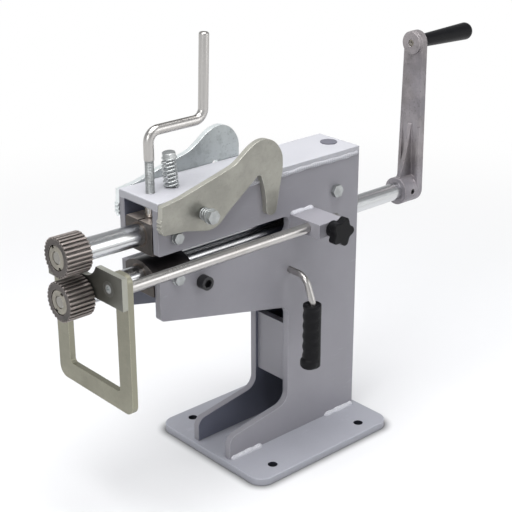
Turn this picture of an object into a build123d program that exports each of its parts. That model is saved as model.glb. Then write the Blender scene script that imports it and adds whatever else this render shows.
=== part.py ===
from build123d import *
import math
import os

# Hand cranked sheet metal crimper: two geared shafts in a welded plate frame,
# each with a toothed crimping roll on its overhung end.
# Millimetres.  X runs along the shafts, rolls at -X and crank at +X.
# -Y is the side of the gauge rod, knob and lock lever.  Z is up, and the
# origin is the middle of the base plate's underside.

# Frame
PLATE = 10.0
BASE_LENGTH = 250.0
BASE_WIDTH = 214.0
BASE_CORNER_R = 20.0
BENCH_HOLE_D = 13.5
BENCH_PITCH_X = 165.0
BENCH_PITCH_Y = 169.0
FRAME_WIDTH = 76.0
FRAME_HEIGHT = 404.0
ARM_FRONT_X = -226.0
COLUMN_FRONT_X = -12.0
COLUMN_REAR_X = 117.0
FOOT_FRONT_X = -118.0
FOOT_SLOPE = 0.158
FOOT_TOP_Z = 59.3
THROAT_LOW_Z = 312.0
THROAT_HIGH_Z = 336.0
LOWER_ARM_FRONT_Z = 250.5
LOWER_ARM_SLOPE = 0.215
WEB_X = -7.5
WEB_LOW_Z = 87.0
WEB_HIGH_Z = 174.0

# Shafts
LOWER_Z = 300.5
SHAFT_PITCH = 50.0
PIVOT_X = 73.0
REST_TILT = 0.85
SHAFT_R = 14.0
CRANK_SHAFT_R = 12.5
SEAT_R = 11.0
SHAFT_FRONT_X = -344.5
RUNNING_FIT = 0.05
BUSH_R = 16.0

# Crimping rolls
ROLL_TEETH = 28
ROLL_R = 25.2
ROLL_TOOTH_DEPTH = 2.5
ROLL_LENGTH = 35.0
ROLL_FRONT_X = -345.5
NUT_R = 15.5
NUT_LENGTH = 8.0

# Timing gears
GEAR_TEETH = 20
GEAR_MODULE = 2.5
GEAR_ADDENDUM = 2.0
GEAR_DEDENDUM = 2.6
GEAR_BACKLASH = 0.35
GEAR_FACE = 20.0
GEAR_X = 22.0

# Bearing blocks
BLOCK_FRONT_X = -226.0
BLOCK_LENGTH = 60.0
REAR_BLOCK_X = 53.0
REAR_BLOCK_LENGTH = 40.0
LOWER_BLOCK_ARC_R = 43.0
GUIDE_X = -199.0

# Adjusting screw and lift bolt
SCREW_X = -207.0
SCREW_R = 6.4
SCREW_THREAD_R = 5.9
SCREW_THREAD_TOP_Z = 445.0
SCREW_HANDLE_X = -122.5
SCREW_HANDLE_LEAN = 4.0
SCREW_BEND_R = 14.0
SCREW_RUN_Z = 480.0
SCREW_TOP_Z = 586.5
SCREW_SHOULDER_Z = 388.0
SCREW_TIP_Z = 379.0
LIFT_X = -173.5
LIFT_LEAN = 6.5
SPRING_R = 8.2
SPRING_WIRE = 2.4
SPRING_TURNS = 7
SPRING_CLOSED_HEIGHT = 33.5

# Gauge
GAUGE_X = -309.0
GAUGE_PLATE = 7.5
LOOP_PLATE = 8.0
GAUGE_HALF_WIDTH = 77.0
GAUGE_LOW_Z = 303.0
GAUGE_HIGH_Z = 344.0
LOOP_LOW_Z = 162.0
LOOP_BAR = 24.5
ROLL_NOTCH_R = 28.0
ROD_Y = -70.0
ROD_Z = 327.0
ROD_R = 7.0
ROD_END_X = 45.0
GAUGE_BLOCK = (-10.0, 32.0, -92.5, 317.0, 337.0)
KNOB_X = 12.5
KNOB_R = 19.7
KNOB_HEAD = 10.0
KNOB_HUB = 11.5

# Crank and levers
CRANK_RADIUS = 215.0
CRANK_BOSS_X = 237.0
SET_SCREW_X = 252.5
CRANK_ARM_X = 261.0
CRANK_ARM_PLATE = 12.5
GRIP_LENGTH = 108.5
LEVER_X = -10.5
LEVER_Z = 259.0
LEVER_R = 4.4
LEVER_BEND_R = 20.0
LEVER_KNEE_Y = -68.5
LEVER_HANG_Y = -83.0
LEVER_HANG_Z = 225.0
LEVER_GRIP_LENGTH = 92.0
LEVER_GRIP_R = 11.7
CAM_R = 19.0
CAM_OFFSET = 8.0
CAM_REST_LEAN = 50.0
GUARD_PLATE = 8.0
GUARD_PIVOT = (-163.0, 379.0)

HALF = FRAME_WIDTH / 2
INNER = HALF - PLATE
UPPER_Z = LOWER_Z + SHAFT_PITCH
PIVOT = (PIVOT_X, 0, UPPER_Z)


def rest_lift(x):
    """How far the carrier's rest pose raises a point above where it is with the rolls closed."""
    return (PIVOT_X - x) * math.sin(math.radians(REST_TILT))


os.makedirs("parts", exist_ok=True)


def save(name, *solids):
    """Write one sub-part: a single solid, or a group of separate equal pieces."""
    shape = solids[0] if len(solids) == 1 else Compound(children=list(solids))
    export_step(shape, f"parts/{name}.step")


def box(x0, x1, y0, y1, z0, z1):
    return Pos((x0 + x1) / 2, (y0 + y1) / 2, (z0 + z1) / 2) * Box(x1 - x0, y1 - y0, z1 - z0)


def rod_x(x0, x1, r, y=0.0, z=0.0):
    return Pos((x0 + x1) / 2, y, z) * Rot(0, 90, 0) * Cylinder(r, x1 - x0)


def rod_y(y0, y1, r, x=0.0, z=0.0):
    return Pos(x, (y0 + y1) / 2, z) * Rot(90, 0, 0) * Cylinder(r, y1 - y0)


def rod_z(z0, z1, r, x=0.0, y=0.0):
    return Pos(x, y, (z0 + z1) / 2) * Cylinder(r, z1 - z0)


def slab_xz(outline, y0, y1):
    """Extrude a closed outline of the X-Z plane from y0 to y1."""
    face = Plane.XZ * make_face(outline)
    return Pos(0, y1, 0) * extrude(face, amount=y1 - y0)


def slab_yz(outline, x0, x1):
    """Extrude a closed outline of the Y-Z plane from x0 to x1."""
    face = Plane.YZ * make_face(outline)
    return Pos(x0, 0, 0) * extrude(face, amount=x1 - x0)


def hexagon_y(across_flats, y0, y1, x, z):
    prism = extrude(RegularPolygon(across_flats / math.sqrt(3), 6), amount=y1 - y0)
    return Pos(x, y1, z) * Rot(90, 0, 0) * prism


def raised(solid):
    """Turn a carrier piece, drawn with the rolls closed, up to the rest pose."""
    return Pos(*PIVOT) * Rot(0, REST_TILT, 0) * Pos(-PIVOT[0], -PIVOT[1], -PIVOT[2]) * solid


def hex_bolt(side, x, z, size, seat, reach, washer=True):
    """Hex head bolt along Y whose head bears on the plane |y| = seat, on one side."""
    head = {8: (13.0, 5.3), 10: (16.0, 6.4)}[size]
    thick = 1.6 if washer else 0.0
    top = seat + thick + head[1]
    shape = hexagon_y(head[0], -top, -seat - thick, x, z)
    crown = rod_y(-top, -seat - thick, head[0] * 0.565, x, z)
    shape = shape & crown
    shape += rod_y(-seat - thick, -reach, size / 2 - 0.15, x, z)
    if washer:
        shape += rod_y(-seat - thick, -seat, size, x, z)
    return shape if side < 0 else mirror(shape, Plane.XZ)


# ---------------------------------------------------------------- frame plates

def base_plate():
    plate = Pos(0, 0, PLATE / 2) * Box(BASE_LENGTH, BASE_WIDTH, PLATE)
    plate = fillet(plate.edges().filter_by(Axis.Z), BASE_CORNER_R)
    plate = chamfer(plate.faces().sort_by(Axis.Z)[-1].edges(), 0.8)
    for x in (-BENCH_PITCH_X / 2, BENCH_PITCH_X / 2):
        for y in (-BENCH_PITCH_Y / 2, BENCH_PITCH_Y / 2):
            plate -= rod_z(-1, PLATE + 1, BENCH_HOLE_D / 2, x, y)
    return plate


def side_outline():
    """C-shaped cheek: foot, column, upper arm and lower arm round a long throat."""
    arm_rear_z = LOWER_ARM_FRONT_Z - LOWER_ARM_SLOPE * (COLUMN_FRONT_X - ARM_FRONT_X)
    foot_nose_z = FOOT_TOP_Z - FOOT_SLOPE * (COLUMN_FRONT_X - FOOT_FRONT_X)
    roof_z = FRAME_HEIGHT - PLATE
    points = [
        (FOOT_FRONT_X, PLATE),
        (FOOT_FRONT_X, foot_nose_z),
        (COLUMN_FRONT_X, FOOT_TOP_Z),
        (COLUMN_FRONT_X, arm_rear_z),
        (ARM_FRONT_X, LOWER_ARM_FRONT_Z),
        (ARM_FRONT_X, THROAT_LOW_Z),
        (COLUMN_FRONT_X, THROAT_LOW_Z),
        (COLUMN_FRONT_X, THROAT_HIGH_Z),
        (ARM_FRONT_X, THROAT_HIGH_Z),
        (ARM_FRONT_X, roof_z),
        (COLUMN_REAR_X, roof_z),
        (COLUMN_REAR_X, PLATE),
    ]
    radii = [0, 14, 18, 15, 6, 1, 9, 9, 2, 0, 0, 0]
    return FilletPolyline(*points, radius=radii, close=True)


def guide_slot(y0, y1):
    """Upright slot in a cheek for the front block's guide bolt."""
    low = UPPER_Z
    high = UPPER_Z + rest_lift(GUIDE_X)
    slot = rod_y(y0, y1, 4.6, GUIDE_X, low) + rod_y(y0, y1, 4.6, GUIDE_X, high)
    return slot + box(GUIDE_X - 4.6, GUIDE_X + 4.6, y0, y1, low, high)


def side_plate(y0, y1):
    plate = slab_xz(side_outline(), y0, y1)
    plate -= guide_slot(y0 - 1, y1 + 1)
    holes = [
        (PIVOT_X, UPPER_Z, 5.0),
        (PIVOT_X, LOWER_Z, 4.0),
        (GUIDE_X, LOWER_Z, 4.0),
        (-160.0, 286.0, 6.0),
        (*GUARD_PIVOT, 5.0),
        (LEVER_X, LEVER_Z, LEVER_R + RUNNING_FIT),
    ]
    for x, z, r in holes:
        plate -= rod_y(y0 - 1, y1 + 1, r, x, z)
    return plate


def top_plate():
    plate = box(ARM_FRONT_X, COLUMN_REAR_X, -HALF, HALF, FRAME_HEIGHT - PLATE, FRAME_HEIGHT)
    plate = chamfer(plate.faces().sort_by(Axis.Z)[-1].edges(), 0.8)
    below, above = FRAME_HEIGHT - PLATE - 1, FRAME_HEIGHT + 1
    plate -= rod_z(below, above, SCREW_THREAD_R + RUNNING_FIT, SCREW_X)
    plate -= rod_z(below, above, 7.0, LIFT_X)
    plate -= rod_z(below, above, 10.0, 96.5)
    return plate


def back_plate():
    plate = box(COLUMN_REAR_X - PLATE, COLUMN_REAR_X, -INNER, INNER, PLATE, FRAME_HEIGHT - PLATE)
    return plate - rod_x(COLUMN_REAR_X - PLATE - 1, COLUMN_REAR_X + 1, CRANK_SHAFT_R + 1.0, z=LOWER_Z)


def weld_bead(length, leg=5.0):
    """Fillet weld along X from 0, filling the corner below +Y and above -Z."""
    with BuildLine() as line:
        Polyline((0, 0), (-leg, 0), (0, leg), close=True)
    bead = extrude(Plane.YZ * make_face(line.line), amount=length)
    return bead


def frame_welds():
    beads = []
    for start, end in ((FOOT_FRONT_X + 1, -60.0), (60.0, COLUMN_REAR_X)):
        beads.append(Pos(start, -HALF, PLATE) * weld_bead(end - start))
    bx0, bx1, by, bz0, bz1 = GAUGE_BLOCK
    beads.append(Pos(bx0, -HALF, bz1) * weld_bead(bx1 - bx0, 4.0))
    far = [mirror(bead, Plane.XZ) for bead in beads[:2]]
    return beads + far


def gauge_block():
    x0, x1, y0, z0, z1 = GAUGE_BLOCK
    block = box(x0, x1, y0, -HALF, z0, z1)
    block = chamfer(block.edges().filter_by(Axis.X).sort_by(Axis.Y)[:2], 0.8)
    block -= rod_x(x0 - 1, x1 + 1, ROD_R + RUNNING_FIT, ROD_Y, ROD_Z)
    return block - rod_y(y0 - 1, ROD_Y, 4.1, KNOB_X, ROD_Z)


# ------------------------------------------------------------- bearing blocks

def bush(x0, x1, z):
    return rod_x(x0, x1, BUSH_R, z=z) - rod_x(x0 - 1, x1 + 1, SHAFT_R + RUNNING_FIT, z=z)


def lower_front_block():
    x0, x1 = BLOCK_FRONT_X - 2.5, BLOCK_FRONT_X - 2.5 + BLOCK_LENGTH
    low, top = LOWER_Z - 20.0, LOWER_Z + 21.0
    half = INNER - 0.2
    shoulder = top - LOWER_BLOCK_ARC_R + math.sqrt(LOWER_BLOCK_ARC_R ** 2 - half ** 2)
    with BuildLine() as line:
        Polyline((half, shoulder), (half, low), (-half, low), (-half, shoulder))
        ThreePointArc((-half, shoulder), (0, top), (half, shoulder))
    block = slab_yz(line.line, x0, x1) - rod_x(x0 - 1, x1 + 1, BUSH_R, z=LOWER_Z)
    for side in (-1, 1):
        ends = sorted((side * 17.0, side * (half + 1)))
        block -= rod_y(*ends, 4.0, GUIDE_X, LOWER_Z)
    return block


def lower_rear_block():
    x0, x1 = REAR_BLOCK_X, REAR_BLOCK_X + REAR_BLOCK_LENGTH
    half = INNER - 0.2
    block = box(x0, x1, -half, half, LOWER_Z - 21.0, LOWER_Z + 21.0)
    block -= rod_x(x0 - 1, x1 + 1, BUSH_R, z=LOWER_Z)
    for side in (-1, 1):
        ends = sorted((side * 17.0, side * (half + 1)))
        block -= rod_y(*ends, 4.0, PIVOT_X, LOWER_Z)
    return block


def upper_front_block():
    """Sliding block: thin roof with an oil slit in front, a boss for the lift bolt behind."""
    x0, x1 = BLOCK_FRONT_X, BLOCK_FRONT_X + BLOCK_LENGTH
    near, far = -INNER + 2.6, INNER - 0.5
    roof = UPPER_Z + 18.5
    block = box(x0, x1, near, far, UPPER_Z - 22.0, roof)
    block = chamfer(block.edges().filter_by(Axis.X).sort_by(Axis.Z)[-2:], 2.5)
    block += box(LIFT_X - 9.0, x1, -12.0, 12.0, roof - 1.0, UPPER_Z + 28.0)
    block -= rod_x(x0 - 1, x1 + 1, BUSH_R, z=UPPER_Z)
    block -= box(x0 - 1, x0 + 11.0, -1.2, 1.2, UPPER_Z + BUSH_R - 1, roof + 1)
    block -= leaned(rod_z(UPPER_Z + 18.5, UPPER_Z + 33.0, 4.85, LIFT_X))
    block -= rod_y(near - 1, -17.0, 4.0, GUIDE_X, UPPER_Z)
    return block - rod_y(17.0, far + 1, 4.0, GUIDE_X, UPPER_Z)


def upper_rear_block():
    x0, x1 = REAR_BLOCK_X, REAR_BLOCK_X + REAR_BLOCK_LENGTH
    half = INNER - 0.5
    block = box(x0, x1, -half, half, UPPER_Z - 20.0, UPPER_Z + 20.0)
    block = chamfer(block.edges().filter_by(Axis.Y), 3.0)
    block -= rod_x(x0 - 1, x1 + 1, BUSH_R, z=UPPER_Z)
    for side in (-1, 1):
        ends = sorted((side * 16.5, side * (half + 1)))
        block -= rod_y(*ends, 4.85 + RUNNING_FIT, PIVOT_X, UPPER_Z)
    return block


# ---------------------------------------------------------- rolls, gears, shafts

def ring_of_teeth(count, profile, phase=0.0):
    """Closed outline in the Y-Z plane: profile lists (radius, share of one pitch)."""
    points = []
    for tooth in range(count):
        for radius, share in profile:
            angle = 2 * math.pi * (tooth + share + phase) / count
            points.append((radius * math.cos(angle), radius * math.sin(angle)))
    return Polyline(*points, close=True)


def crimping_roll(z, phase):
    """Straight toothed crimping roll with its lands slightly wider than its grooves."""
    root = ROLL_R - ROLL_TOOTH_DEPTH
    middle = ROLL_R - 0.5
    profile = [(root, -0.34), (middle, -0.235), (ROLL_R, -0.17), (ROLL_R + 0.02, 0.0),
               (ROLL_R, 0.17), (middle, 0.235), (root, 0.34)]
    x0, x1 = ROLL_FRONT_X, ROLL_FRONT_X + ROLL_LENGTH
    roll = Pos(0, 0, z) * slab_yz(ring_of_teeth(ROLL_TEETH, profile, phase), x0, x1)
    lead = 0.8
    with BuildLine() as line:
        Polyline((x0, 0), (x0, ROLL_R - lead), (x0 + lead, ROLL_R + 0.1),
                 (x1 - lead, ROLL_R + 0.1), (x1, ROLL_R - lead), (x1, 0), close=True)
    envelope = revolve(Plane.XZ * make_face(line.line), Axis.X)
    roll &= Pos(0, 0, z) * envelope
    roll -= rod_x(x0 - 1, x1 + 1, SEAT_R, z=z)
    roll -= rod_x(x0 - 1, x0 + NUT_LENGTH + 1.0, NUT_R + 0.6, z=z)
    return roll - key_slot(x0 + 14.0, x0 + 30.0, z, SEAT_R, 1.0)


def key_slot(x0, x1, z, shaft_r, grow):
    """Space of a 6 mm key half sunk in a shaft, lengthened by grow at both ends."""
    return box(x0 - grow, x1 + grow, -3.0, 3.0, z + shaft_r - 3.0, z + shaft_r + 2.8)


def timing_gear(z, phase):
    pitch_r = GEAR_MODULE * GEAR_TEETH / 2
    tip, root = pitch_r + GEAR_ADDENDUM, pitch_r - GEAR_DEDENDUM
    half = 0.25 - GEAR_BACKLASH / (2 * math.pi * GEAR_MODULE) / 2
    profile = [(root, -half - 0.115), (pitch_r - 1.0, -half - 0.05), (pitch_r, -half), (tip, -half + 0.115),
               (tip, half - 0.115), (pitch_r, half), (pitch_r - 1.0, half + 0.05), (root, half + 0.115)]
    x0, x1 = GEAR_X, GEAR_X + GEAR_FACE
    gear = Pos(0, 0, z) * slab_yz(ring_of_teeth(GEAR_TEETH, profile, phase), x0, x1)
    gear -= rod_x(x0 - 1, x1 + 1, SHAFT_R, z=z)
    return gear - key_slot(x0 + 2.0, x1 - 2.0, z, SHAFT_R, 4.0)


def pin_nut(z, turn):
    """Round nut with two rim notches for a pin spanner, flush in the roll's face."""
    x0, x1 = ROLL_FRONT_X + 0.4, ROLL_FRONT_X + 0.4 + NUT_LENGTH
    nut = rod_x(x0, x1, NUT_R)
    nut = chamfer(nut.faces().sort_by(Axis.X)[0].edges(), 0.8)
    nut -= rod_x(x0 - 1, x1 + 1, 8.0)
    for half_turn in (0, 180):
        notch = Rot(turn + half_turn, 0, 0) * box(x0 - 1, x1 + 1, NUT_R - 3.6, NUT_R + 1, -2.2, 2.2)
        nut -= notch
    return Pos(0, 0, z) * nut


def stepped_shaft(z, steps):
    """Solid shaft from (x, radius) steps, each radius running up to the next x."""
    shaft = None
    for (x0, r), (x1, _) in zip(steps, steps[1:]):
        piece = rod_x(x0, x1, r, z=z)
        shaft = piece if shaft is None else shaft + piece
    shaft = chamfer(shaft.faces().sort_by(Axis.X)[0].edges(), 1.0)
    return shaft


def lower_shaft():
    seat_end = ROLL_FRONT_X + ROLL_LENGTH
    steps = [(SHAFT_FRONT_X, 8.0 - 0.02), (ROLL_FRONT_X + 10.0, SEAT_R), (seat_end, SHAFT_R),
             (REAR_BLOCK_X + REAR_BLOCK_LENGTH + 3.0, CRANK_SHAFT_R),
             (CRANK_ARM_X + CRANK_ARM_PLATE - 3.0, 0.0)]
    shaft = stepped_shaft(LOWER_Z, steps)
    return cut_keyways(shaft, LOWER_Z)


def upper_shaft():
    seat_end = ROLL_FRONT_X + ROLL_LENGTH
    steps = [(SHAFT_FRONT_X, 8.0 - 0.02), (ROLL_FRONT_X + 10.0, SEAT_R), (seat_end, SHAFT_R),
             (REAR_BLOCK_X + REAR_BLOCK_LENGTH + 5.0, 0.0)]
    return cut_keyways(stepped_shaft(UPPER_Z, steps), UPPER_Z)


def cut_keyways(shaft, z):
    shaft -= key_slot(ROLL_FRONT_X + 14.0, ROLL_FRONT_X + 30.0, z, SEAT_R, 0.0)
    return shaft - key_slot(GEAR_X + 2.0, GEAR_X + GEAR_FACE - 2.0, z, SHAFT_R, 0.0)


def keys(z):
    """Roll key and gear key of one shaft."""
    roll_key = key_slot(ROLL_FRONT_X + 14.0, ROLL_FRONT_X + 30.0, z, SEAT_R, 0.0)
    gear_key = key_slot(GEAR_X + 2.0, GEAR_X + GEAR_FACE - 2.0, z, SHAFT_R, 0.0)
    return roll_key, gear_key


# ------------------------------------------------------- adjusting screw, lift

def adjusting_screw():
    """Z-bent bar: threaded lower leg with a turned tip, crossing run, upright handle."""
    handle_top_x = SCREW_HANDLE_X + SCREW_HANDLE_LEAN
    with BuildLine() as path:
        FilletPolyline((SCREW_X, 0, SCREW_THREAD_TOP_Z), (SCREW_X, 0, SCREW_RUN_Z),
                       (SCREW_HANDLE_X, 0, SCREW_RUN_Z), (handle_top_x, 0, SCREW_TOP_Z),
                       radius=SCREW_BEND_R)
    section = Plane(origin=(SCREW_X, 0, SCREW_THREAD_TOP_Z), z_dir=(0, 0, 1)) * Circle(SCREW_R)
    bar = sweep(section, path.line)
    bar = fillet(bar.faces().sort_by(Axis.Z)[-1].edges(), 2.6)
    thread = rod_z(SCREW_SHOULDER_Z, SCREW_THREAD_TOP_Z, SCREW_THREAD_R, SCREW_X)
    tip = rod_z(SCREW_TIP_Z, SCREW_SHOULDER_Z, 3.6, SCREW_X)
    return bar + thread + tip


def screw_foot():
    """Pressure pad that the screw's tip turns in; it bears on the front block."""
    bearing_z = UPPER_Z + 18.5 + rest_lift(SCREW_X) + 0.35
    pad = rod_z(bearing_z, SCREW_SHOULDER_Z - 1.0, 7.5, SCREW_X)
    pad = chamfer(pad.faces().sort_by(Axis.Z)[0].edges(), 1.2)
    return pad - rod_z(SCREW_TIP_Z - 0.4, SCREW_SHOULDER_Z, 3.6 + RUNNING_FIT, SCREW_X)


def helix_spring(turns, coil_r, wire, height):
    """Open compression spring along +Z from 0 as one unbroken swept wire."""
    rise = height - wire
    steps = turns * 4
    knots = []
    for step in range(steps + 1):
        angle = step * math.pi / 2
        share = step / steps
        lift = wire / 2 + rise * (share if 0 < step < steps else round(share))
        knots.append(Vector(coil_r * math.cos(angle), coil_r * math.sin(angle), lift))
    gap = measure_gap(knots, wire)
    slope = rise / steps / (coil_r * math.pi / 2)
    edges = []
    for step in range(steps):
        angle = step * math.pi / 2
        start = Vector(-math.sin(angle), math.cos(angle), slope)
        edges.append(TangentArc(knots[step], knots[step + 1], tangent=start))
    path = Wire(edges)
    section = Plane(origin=knots[0], z_dir=path % 0) * Circle(wire / 2)
    return sweep(section, path), gap


def measure_gap(knots, wire):
    """Least gap between neighbouring turns, measured on the wire's centre line."""
    nearest = min((knots[i + 4] - knots[i]).length for i in range(len(knots) - 4))
    return nearest - wire


def leaned(solid):
    """Lean a piece of the lift bolt about its hole in the top plate, head towards the rolls."""
    centre = (LIFT_X, 0, FRAME_HEIGHT - PLATE / 2)
    return Pos(*centre) * Rot(0, -LIFT_LEAN, 0) * Pos(-centre[0], 0, -centre[2]) * solid


def lift_bolt():
    """Bolt tapped in the front block; its head keeps the spring pressed on the top plate."""
    head_z = FRAME_HEIGHT + SPRING_CLOSED_HEIGHT + 1.6
    bolt = rod_z(UPPER_Z + 19.0, head_z, 4.85, LIFT_X)
    bolt += rod_z(head_z - 1.6, head_z, 9.5, LIFT_X)
    head = extrude(RegularPolygon(16.0 / math.sqrt(3), 6), amount=6.4) & Cylinder(9.0, 20)
    return leaned(bolt + Pos(LIFT_X, 0, head_z) * head)


# ----------------------------------------------------------------------- gauge

def gauge_plate():
    """Stop plate behind the rolls, notched for the upper roll and the lower shaft."""
    x0, x1 = GAUGE_X, GAUGE_X + GAUGE_PLATE
    plate = box(x0, x1, -GAUGE_HALF_WIDTH, GAUGE_HALF_WIDTH, GAUGE_LOW_Z, GAUGE_HIGH_Z)
    plate -= rod_x(x0 - 1, x1 + 1, ROLL_NOTCH_R, z=UPPER_Z + 4.0)
    plate -= rod_x(x0 - 1, x1 + 1, SHAFT_R + 4.0, z=LOWER_Z)
    for y in (-49.5, 49.5):
        plate -= rod_x(x0 - 1, x1 + 1, 5.2, y, 323.0)
        sink = Pos(x0 + 2.7, y, 323.0) * Rot(0, 90, 0) * Cone(9.7, 4.6, 5.4)
        plate -= sink
    return plate


def gauge_screws():
    screws = []
    for y in (-49.5, 49.5):
        head = Pos(GAUGE_X + 2.7, y, 323.0) * Rot(0, 90, 0) * Cone(9.4, 4.5, 5.4)
        body = head + rod_x(GAUGE_X + 4.0, GAUGE_X + GAUGE_PLATE + LOOP_PLATE, 4.5, y, 323.0)
        socket = Pos(GAUGE_X - 0.5, y, 323.0) * Rot(0, 90, 0) * extrude(RegularPolygon(3.46, 6), amount=4.0)
        screws.append(body - socket)
    return screws


def gauge_loop():
    """Hanging U of flat bar with two lugs that carry the stop plate."""
    x0 = GAUGE_X + GAUGE_PLATE
    x1 = x0 + LOOP_PLATE
    outer, inner = GAUGE_HALF_WIDTH, GAUGE_HALF_WIDTH - LOOP_BAR
    sill = LOOP_LOW_Z + LOOP_BAR
    points = [(-outer, GAUGE_HIGH_Z), (-outer, LOOP_LOW_Z), (outer, LOOP_LOW_Z), (outer, GAUGE_HIGH_Z),
              (inner, GAUGE_HIGH_Z), (inner, sill), (-inner, sill), (-inner, GAUGE_HIGH_Z)]
    outline = FilletPolyline(*points, radius=[10, 14, 14, 10, 0, 5, 5, 0], close=True)
    loop = slab_yz(outline, x0, x1)
    for side in (-1, 1):
        lug = rod_x(x0, x1, 10.5, side * 49.5, 323.0)
        loop += lug
    for side in (-1, 1):
        loop -= rod_x(x0 - 1, x1 + 1, 4.5, side * 49.5, 323.0)
    return loop


def gauge_rod():
    rod = rod_x(GAUGE_X + GAUGE_PLATE + LOOP_PLATE, ROD_END_X, ROD_R, ROD_Y, ROD_Z)
    return chamfer(rod.faces().sort_by(Axis.X)[-1].edges(), 1.2)


def gauge_knob():
    """Five lobed clamp knob with its stud, on the axis -Y."""
    y_seat = GAUGE_BLOCK[2] - 0.5
    lobes, steps, turned, wave = 5, 8, math.radians(20), 2.6
    points = []
    for step in range(lobes * steps):
        angle = 2 * math.pi * step / (lobes * steps)
        radius = KNOB_R - wave + wave * math.cos(lobes * angle)
        points.append((radius * math.sin(angle + turned), radius * math.cos(angle + turned)))
    head = extrude(Plane.XZ * make_face(Spline(*points, periodic=True)), amount=KNOB_HEAD)
    head = chamfer(head.faces().sort_by(Axis.Y)[0].edges(), 1.2)
    knob = Pos(KNOB_X, y_seat - KNOB_HUB, ROD_Z) * head
    knob += rod_y(y_seat - KNOB_HUB - 1.0, y_seat, 11.0, KNOB_X, ROD_Z)
    return knob + rod_y(y_seat - 1.0, ROD_Y - ROD_R - 0.35, 3.9, KNOB_X, ROD_Z)


# ---------------------------------------------------------- crank, lever, guard

def crank_arm():
    """Cast arm: shaft boss, tapered bar hollowed in front beside a rib, round handle boss."""
    axis_z, top_z = LOWER_Z, LOWER_Z + CRANK_RADIUS
    x0, x1 = CRANK_ARM_X, CRANK_ARM_X + CRANK_ARM_PLATE
    low_r, high_r = 20.3, 16.8
    with BuildLine() as line:
        Polyline((-high_r, top_z), (-low_r, axis_z))
        ThreePointArc((-low_r, axis_z), (0, axis_z - low_r), (low_r, axis_z))
        Polyline((low_r, axis_z), (high_r, top_z))
        ThreePointArc((high_r, top_z), (0, top_z + high_r), (-high_r, top_z))
    bar = slab_yz(line.line, x0, x1)
    bar = fillet(bar.faces().sort_by(Axis.X)[-1].edges(), 2.5)
    bar = fillet(bar.faces().sort_by(Axis.X)[0].edges(), 1.5)
    with BuildLine() as pocket:
        Polyline((x0 - 1, axis_z + 16.0), (x0 + 5.0, axis_z + 16.0), (x0, axis_z + 112.0),
                 (x0 - 1, axis_z + 112.0), (x0 - 1, axis_z + 16.0))
    bar -= slab_xz(pocket.line, -13.8, 13.8)
    with BuildLine() as rib_line:
        ThreePointArc((CRANK_BOSS_X + 1.5, axis_z + 14.0), (x0 - 11.5, axis_z + 43.5), (x0 - 0.4, axis_z + 97.0))
        Polyline((x0 - 0.4, axis_z + 97.0), (x0 + 6.0, axis_z + 99.0), (x0 + 6.0, axis_z + 14.0),
                 (CRANK_BOSS_X + 1.5, axis_z + 14.0))
    rib = slab_xz(rib_line.line, -3.2, 3.2)
    arm = bar + rib + rod_x(CRANK_BOSS_X, x1 - 3.0, 20.0, z=axis_z)
    boss = rod_x(x0 - 4.5, x0 + 2.0, 16.3, z=top_z)
    arm += chamfer(boss.faces().sort_by(Axis.X)[0].edges(), 0.8)
    arm -= rod_x(CRANK_BOSS_X - 1, x1 - 3.0, CRANK_SHAFT_R, z=axis_z)
    arm -= rod_x(x0 - 6, x1 + 1, 5.0, z=top_z)
    return arm - rod_y(-21, 0, 4.0, SET_SCREW_X, axis_z)


def crank_set_screw():
    screw = rod_y(-19.0, -CRANK_SHAFT_R, 4.0, SET_SCREW_X, LOWER_Z)
    socket = extrude(RegularPolygon(2.3, 6), amount=4.0)
    return screw - Pos(SET_SCREW_X, -16.0, LOWER_Z) * Rot(90, 0, 0) * socket


def grip_spindle():
    """Shouldered pin riveted in the arm; its collar holds the loose grip on."""
    z = LOWER_Z + CRANK_RADIUS
    rear = CRANK_ARM_X + CRANK_ARM_PLATE
    pin = rod_x(CRANK_ARM_X - 3.5, rear + GRIP_LENGTH - 14.0, 5.0, z=z)
    pin += rod_x(rear + GRIP_LENGTH - 16.0, rear + GRIP_LENGTH - 11.0, 7.0, z=z)
    return pin - rod_x(CRANK_ARM_X - 4.5, CRANK_ARM_X - 1.5, 2.4, z=z)


def crank_grip():
    """Smooth tapered grip, thick at its domed end."""
    z = LOWER_Z + CRANK_RADIUS
    x0 = CRANK_ARM_X + CRANK_ARM_PLATE + 0.4
    x1 = x0 + GRIP_LENGTH
    shoulder = x1 - 11.0
    with BuildLine() as line:
        Polyline((x1, 0), (x0, 0), (x0, 7.8), (x0 + 1.2, 9.0), (shoulder, 12.5))
        ThreePointArc((shoulder, 12.5), (x1 - 3.0, 9.6), (x1, 4.0))
        Line((x1, 4.0), (x1, 0))
    grip = Pos(0, 0, z) * revolve(Plane.XZ * make_face(line.line), Axis.X)
    grip -= rod_x(x0 - 1, x1 - 15.5, 5.0 + RUNNING_FIT, z=z)
    return grip - rod_x(x1 - 17.5, x1 - 10.5, 7.0 + RUNNING_FIT, z=z)


def lock_lever():
    """Cross shaft with an eccentric cam under the lower shaft, bent down into the hand lever."""
    foot_z = LEVER_HANG_Z - LEVER_GRIP_LENGTH + 6.0
    with BuildLine() as path:
        FilletPolyline((LEVER_X, HALF - 1.0, LEVER_Z), (LEVER_X, LEVER_KNEE_Y, LEVER_Z),
                       (LEVER_X, LEVER_HANG_Y, LEVER_HANG_Z), (LEVER_X, LEVER_HANG_Y, foot_z),
                       radius=LEVER_BEND_R)
    section = Plane(origin=(LEVER_X, HALF - 1.0, LEVER_Z), z_dir=(0, -1, 0)) * Circle(LEVER_R)
    bar = sweep(section, path.line)
    lean = math.radians(CAM_REST_LEAN)
    cam_x = LEVER_X - CAM_OFFSET * math.sin(lean)
    cam_z = LEVER_Z + CAM_OFFSET * math.cos(lean)
    return bar + rod_y(-7.0, 7.0, CAM_R, cam_x, cam_z)


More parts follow.
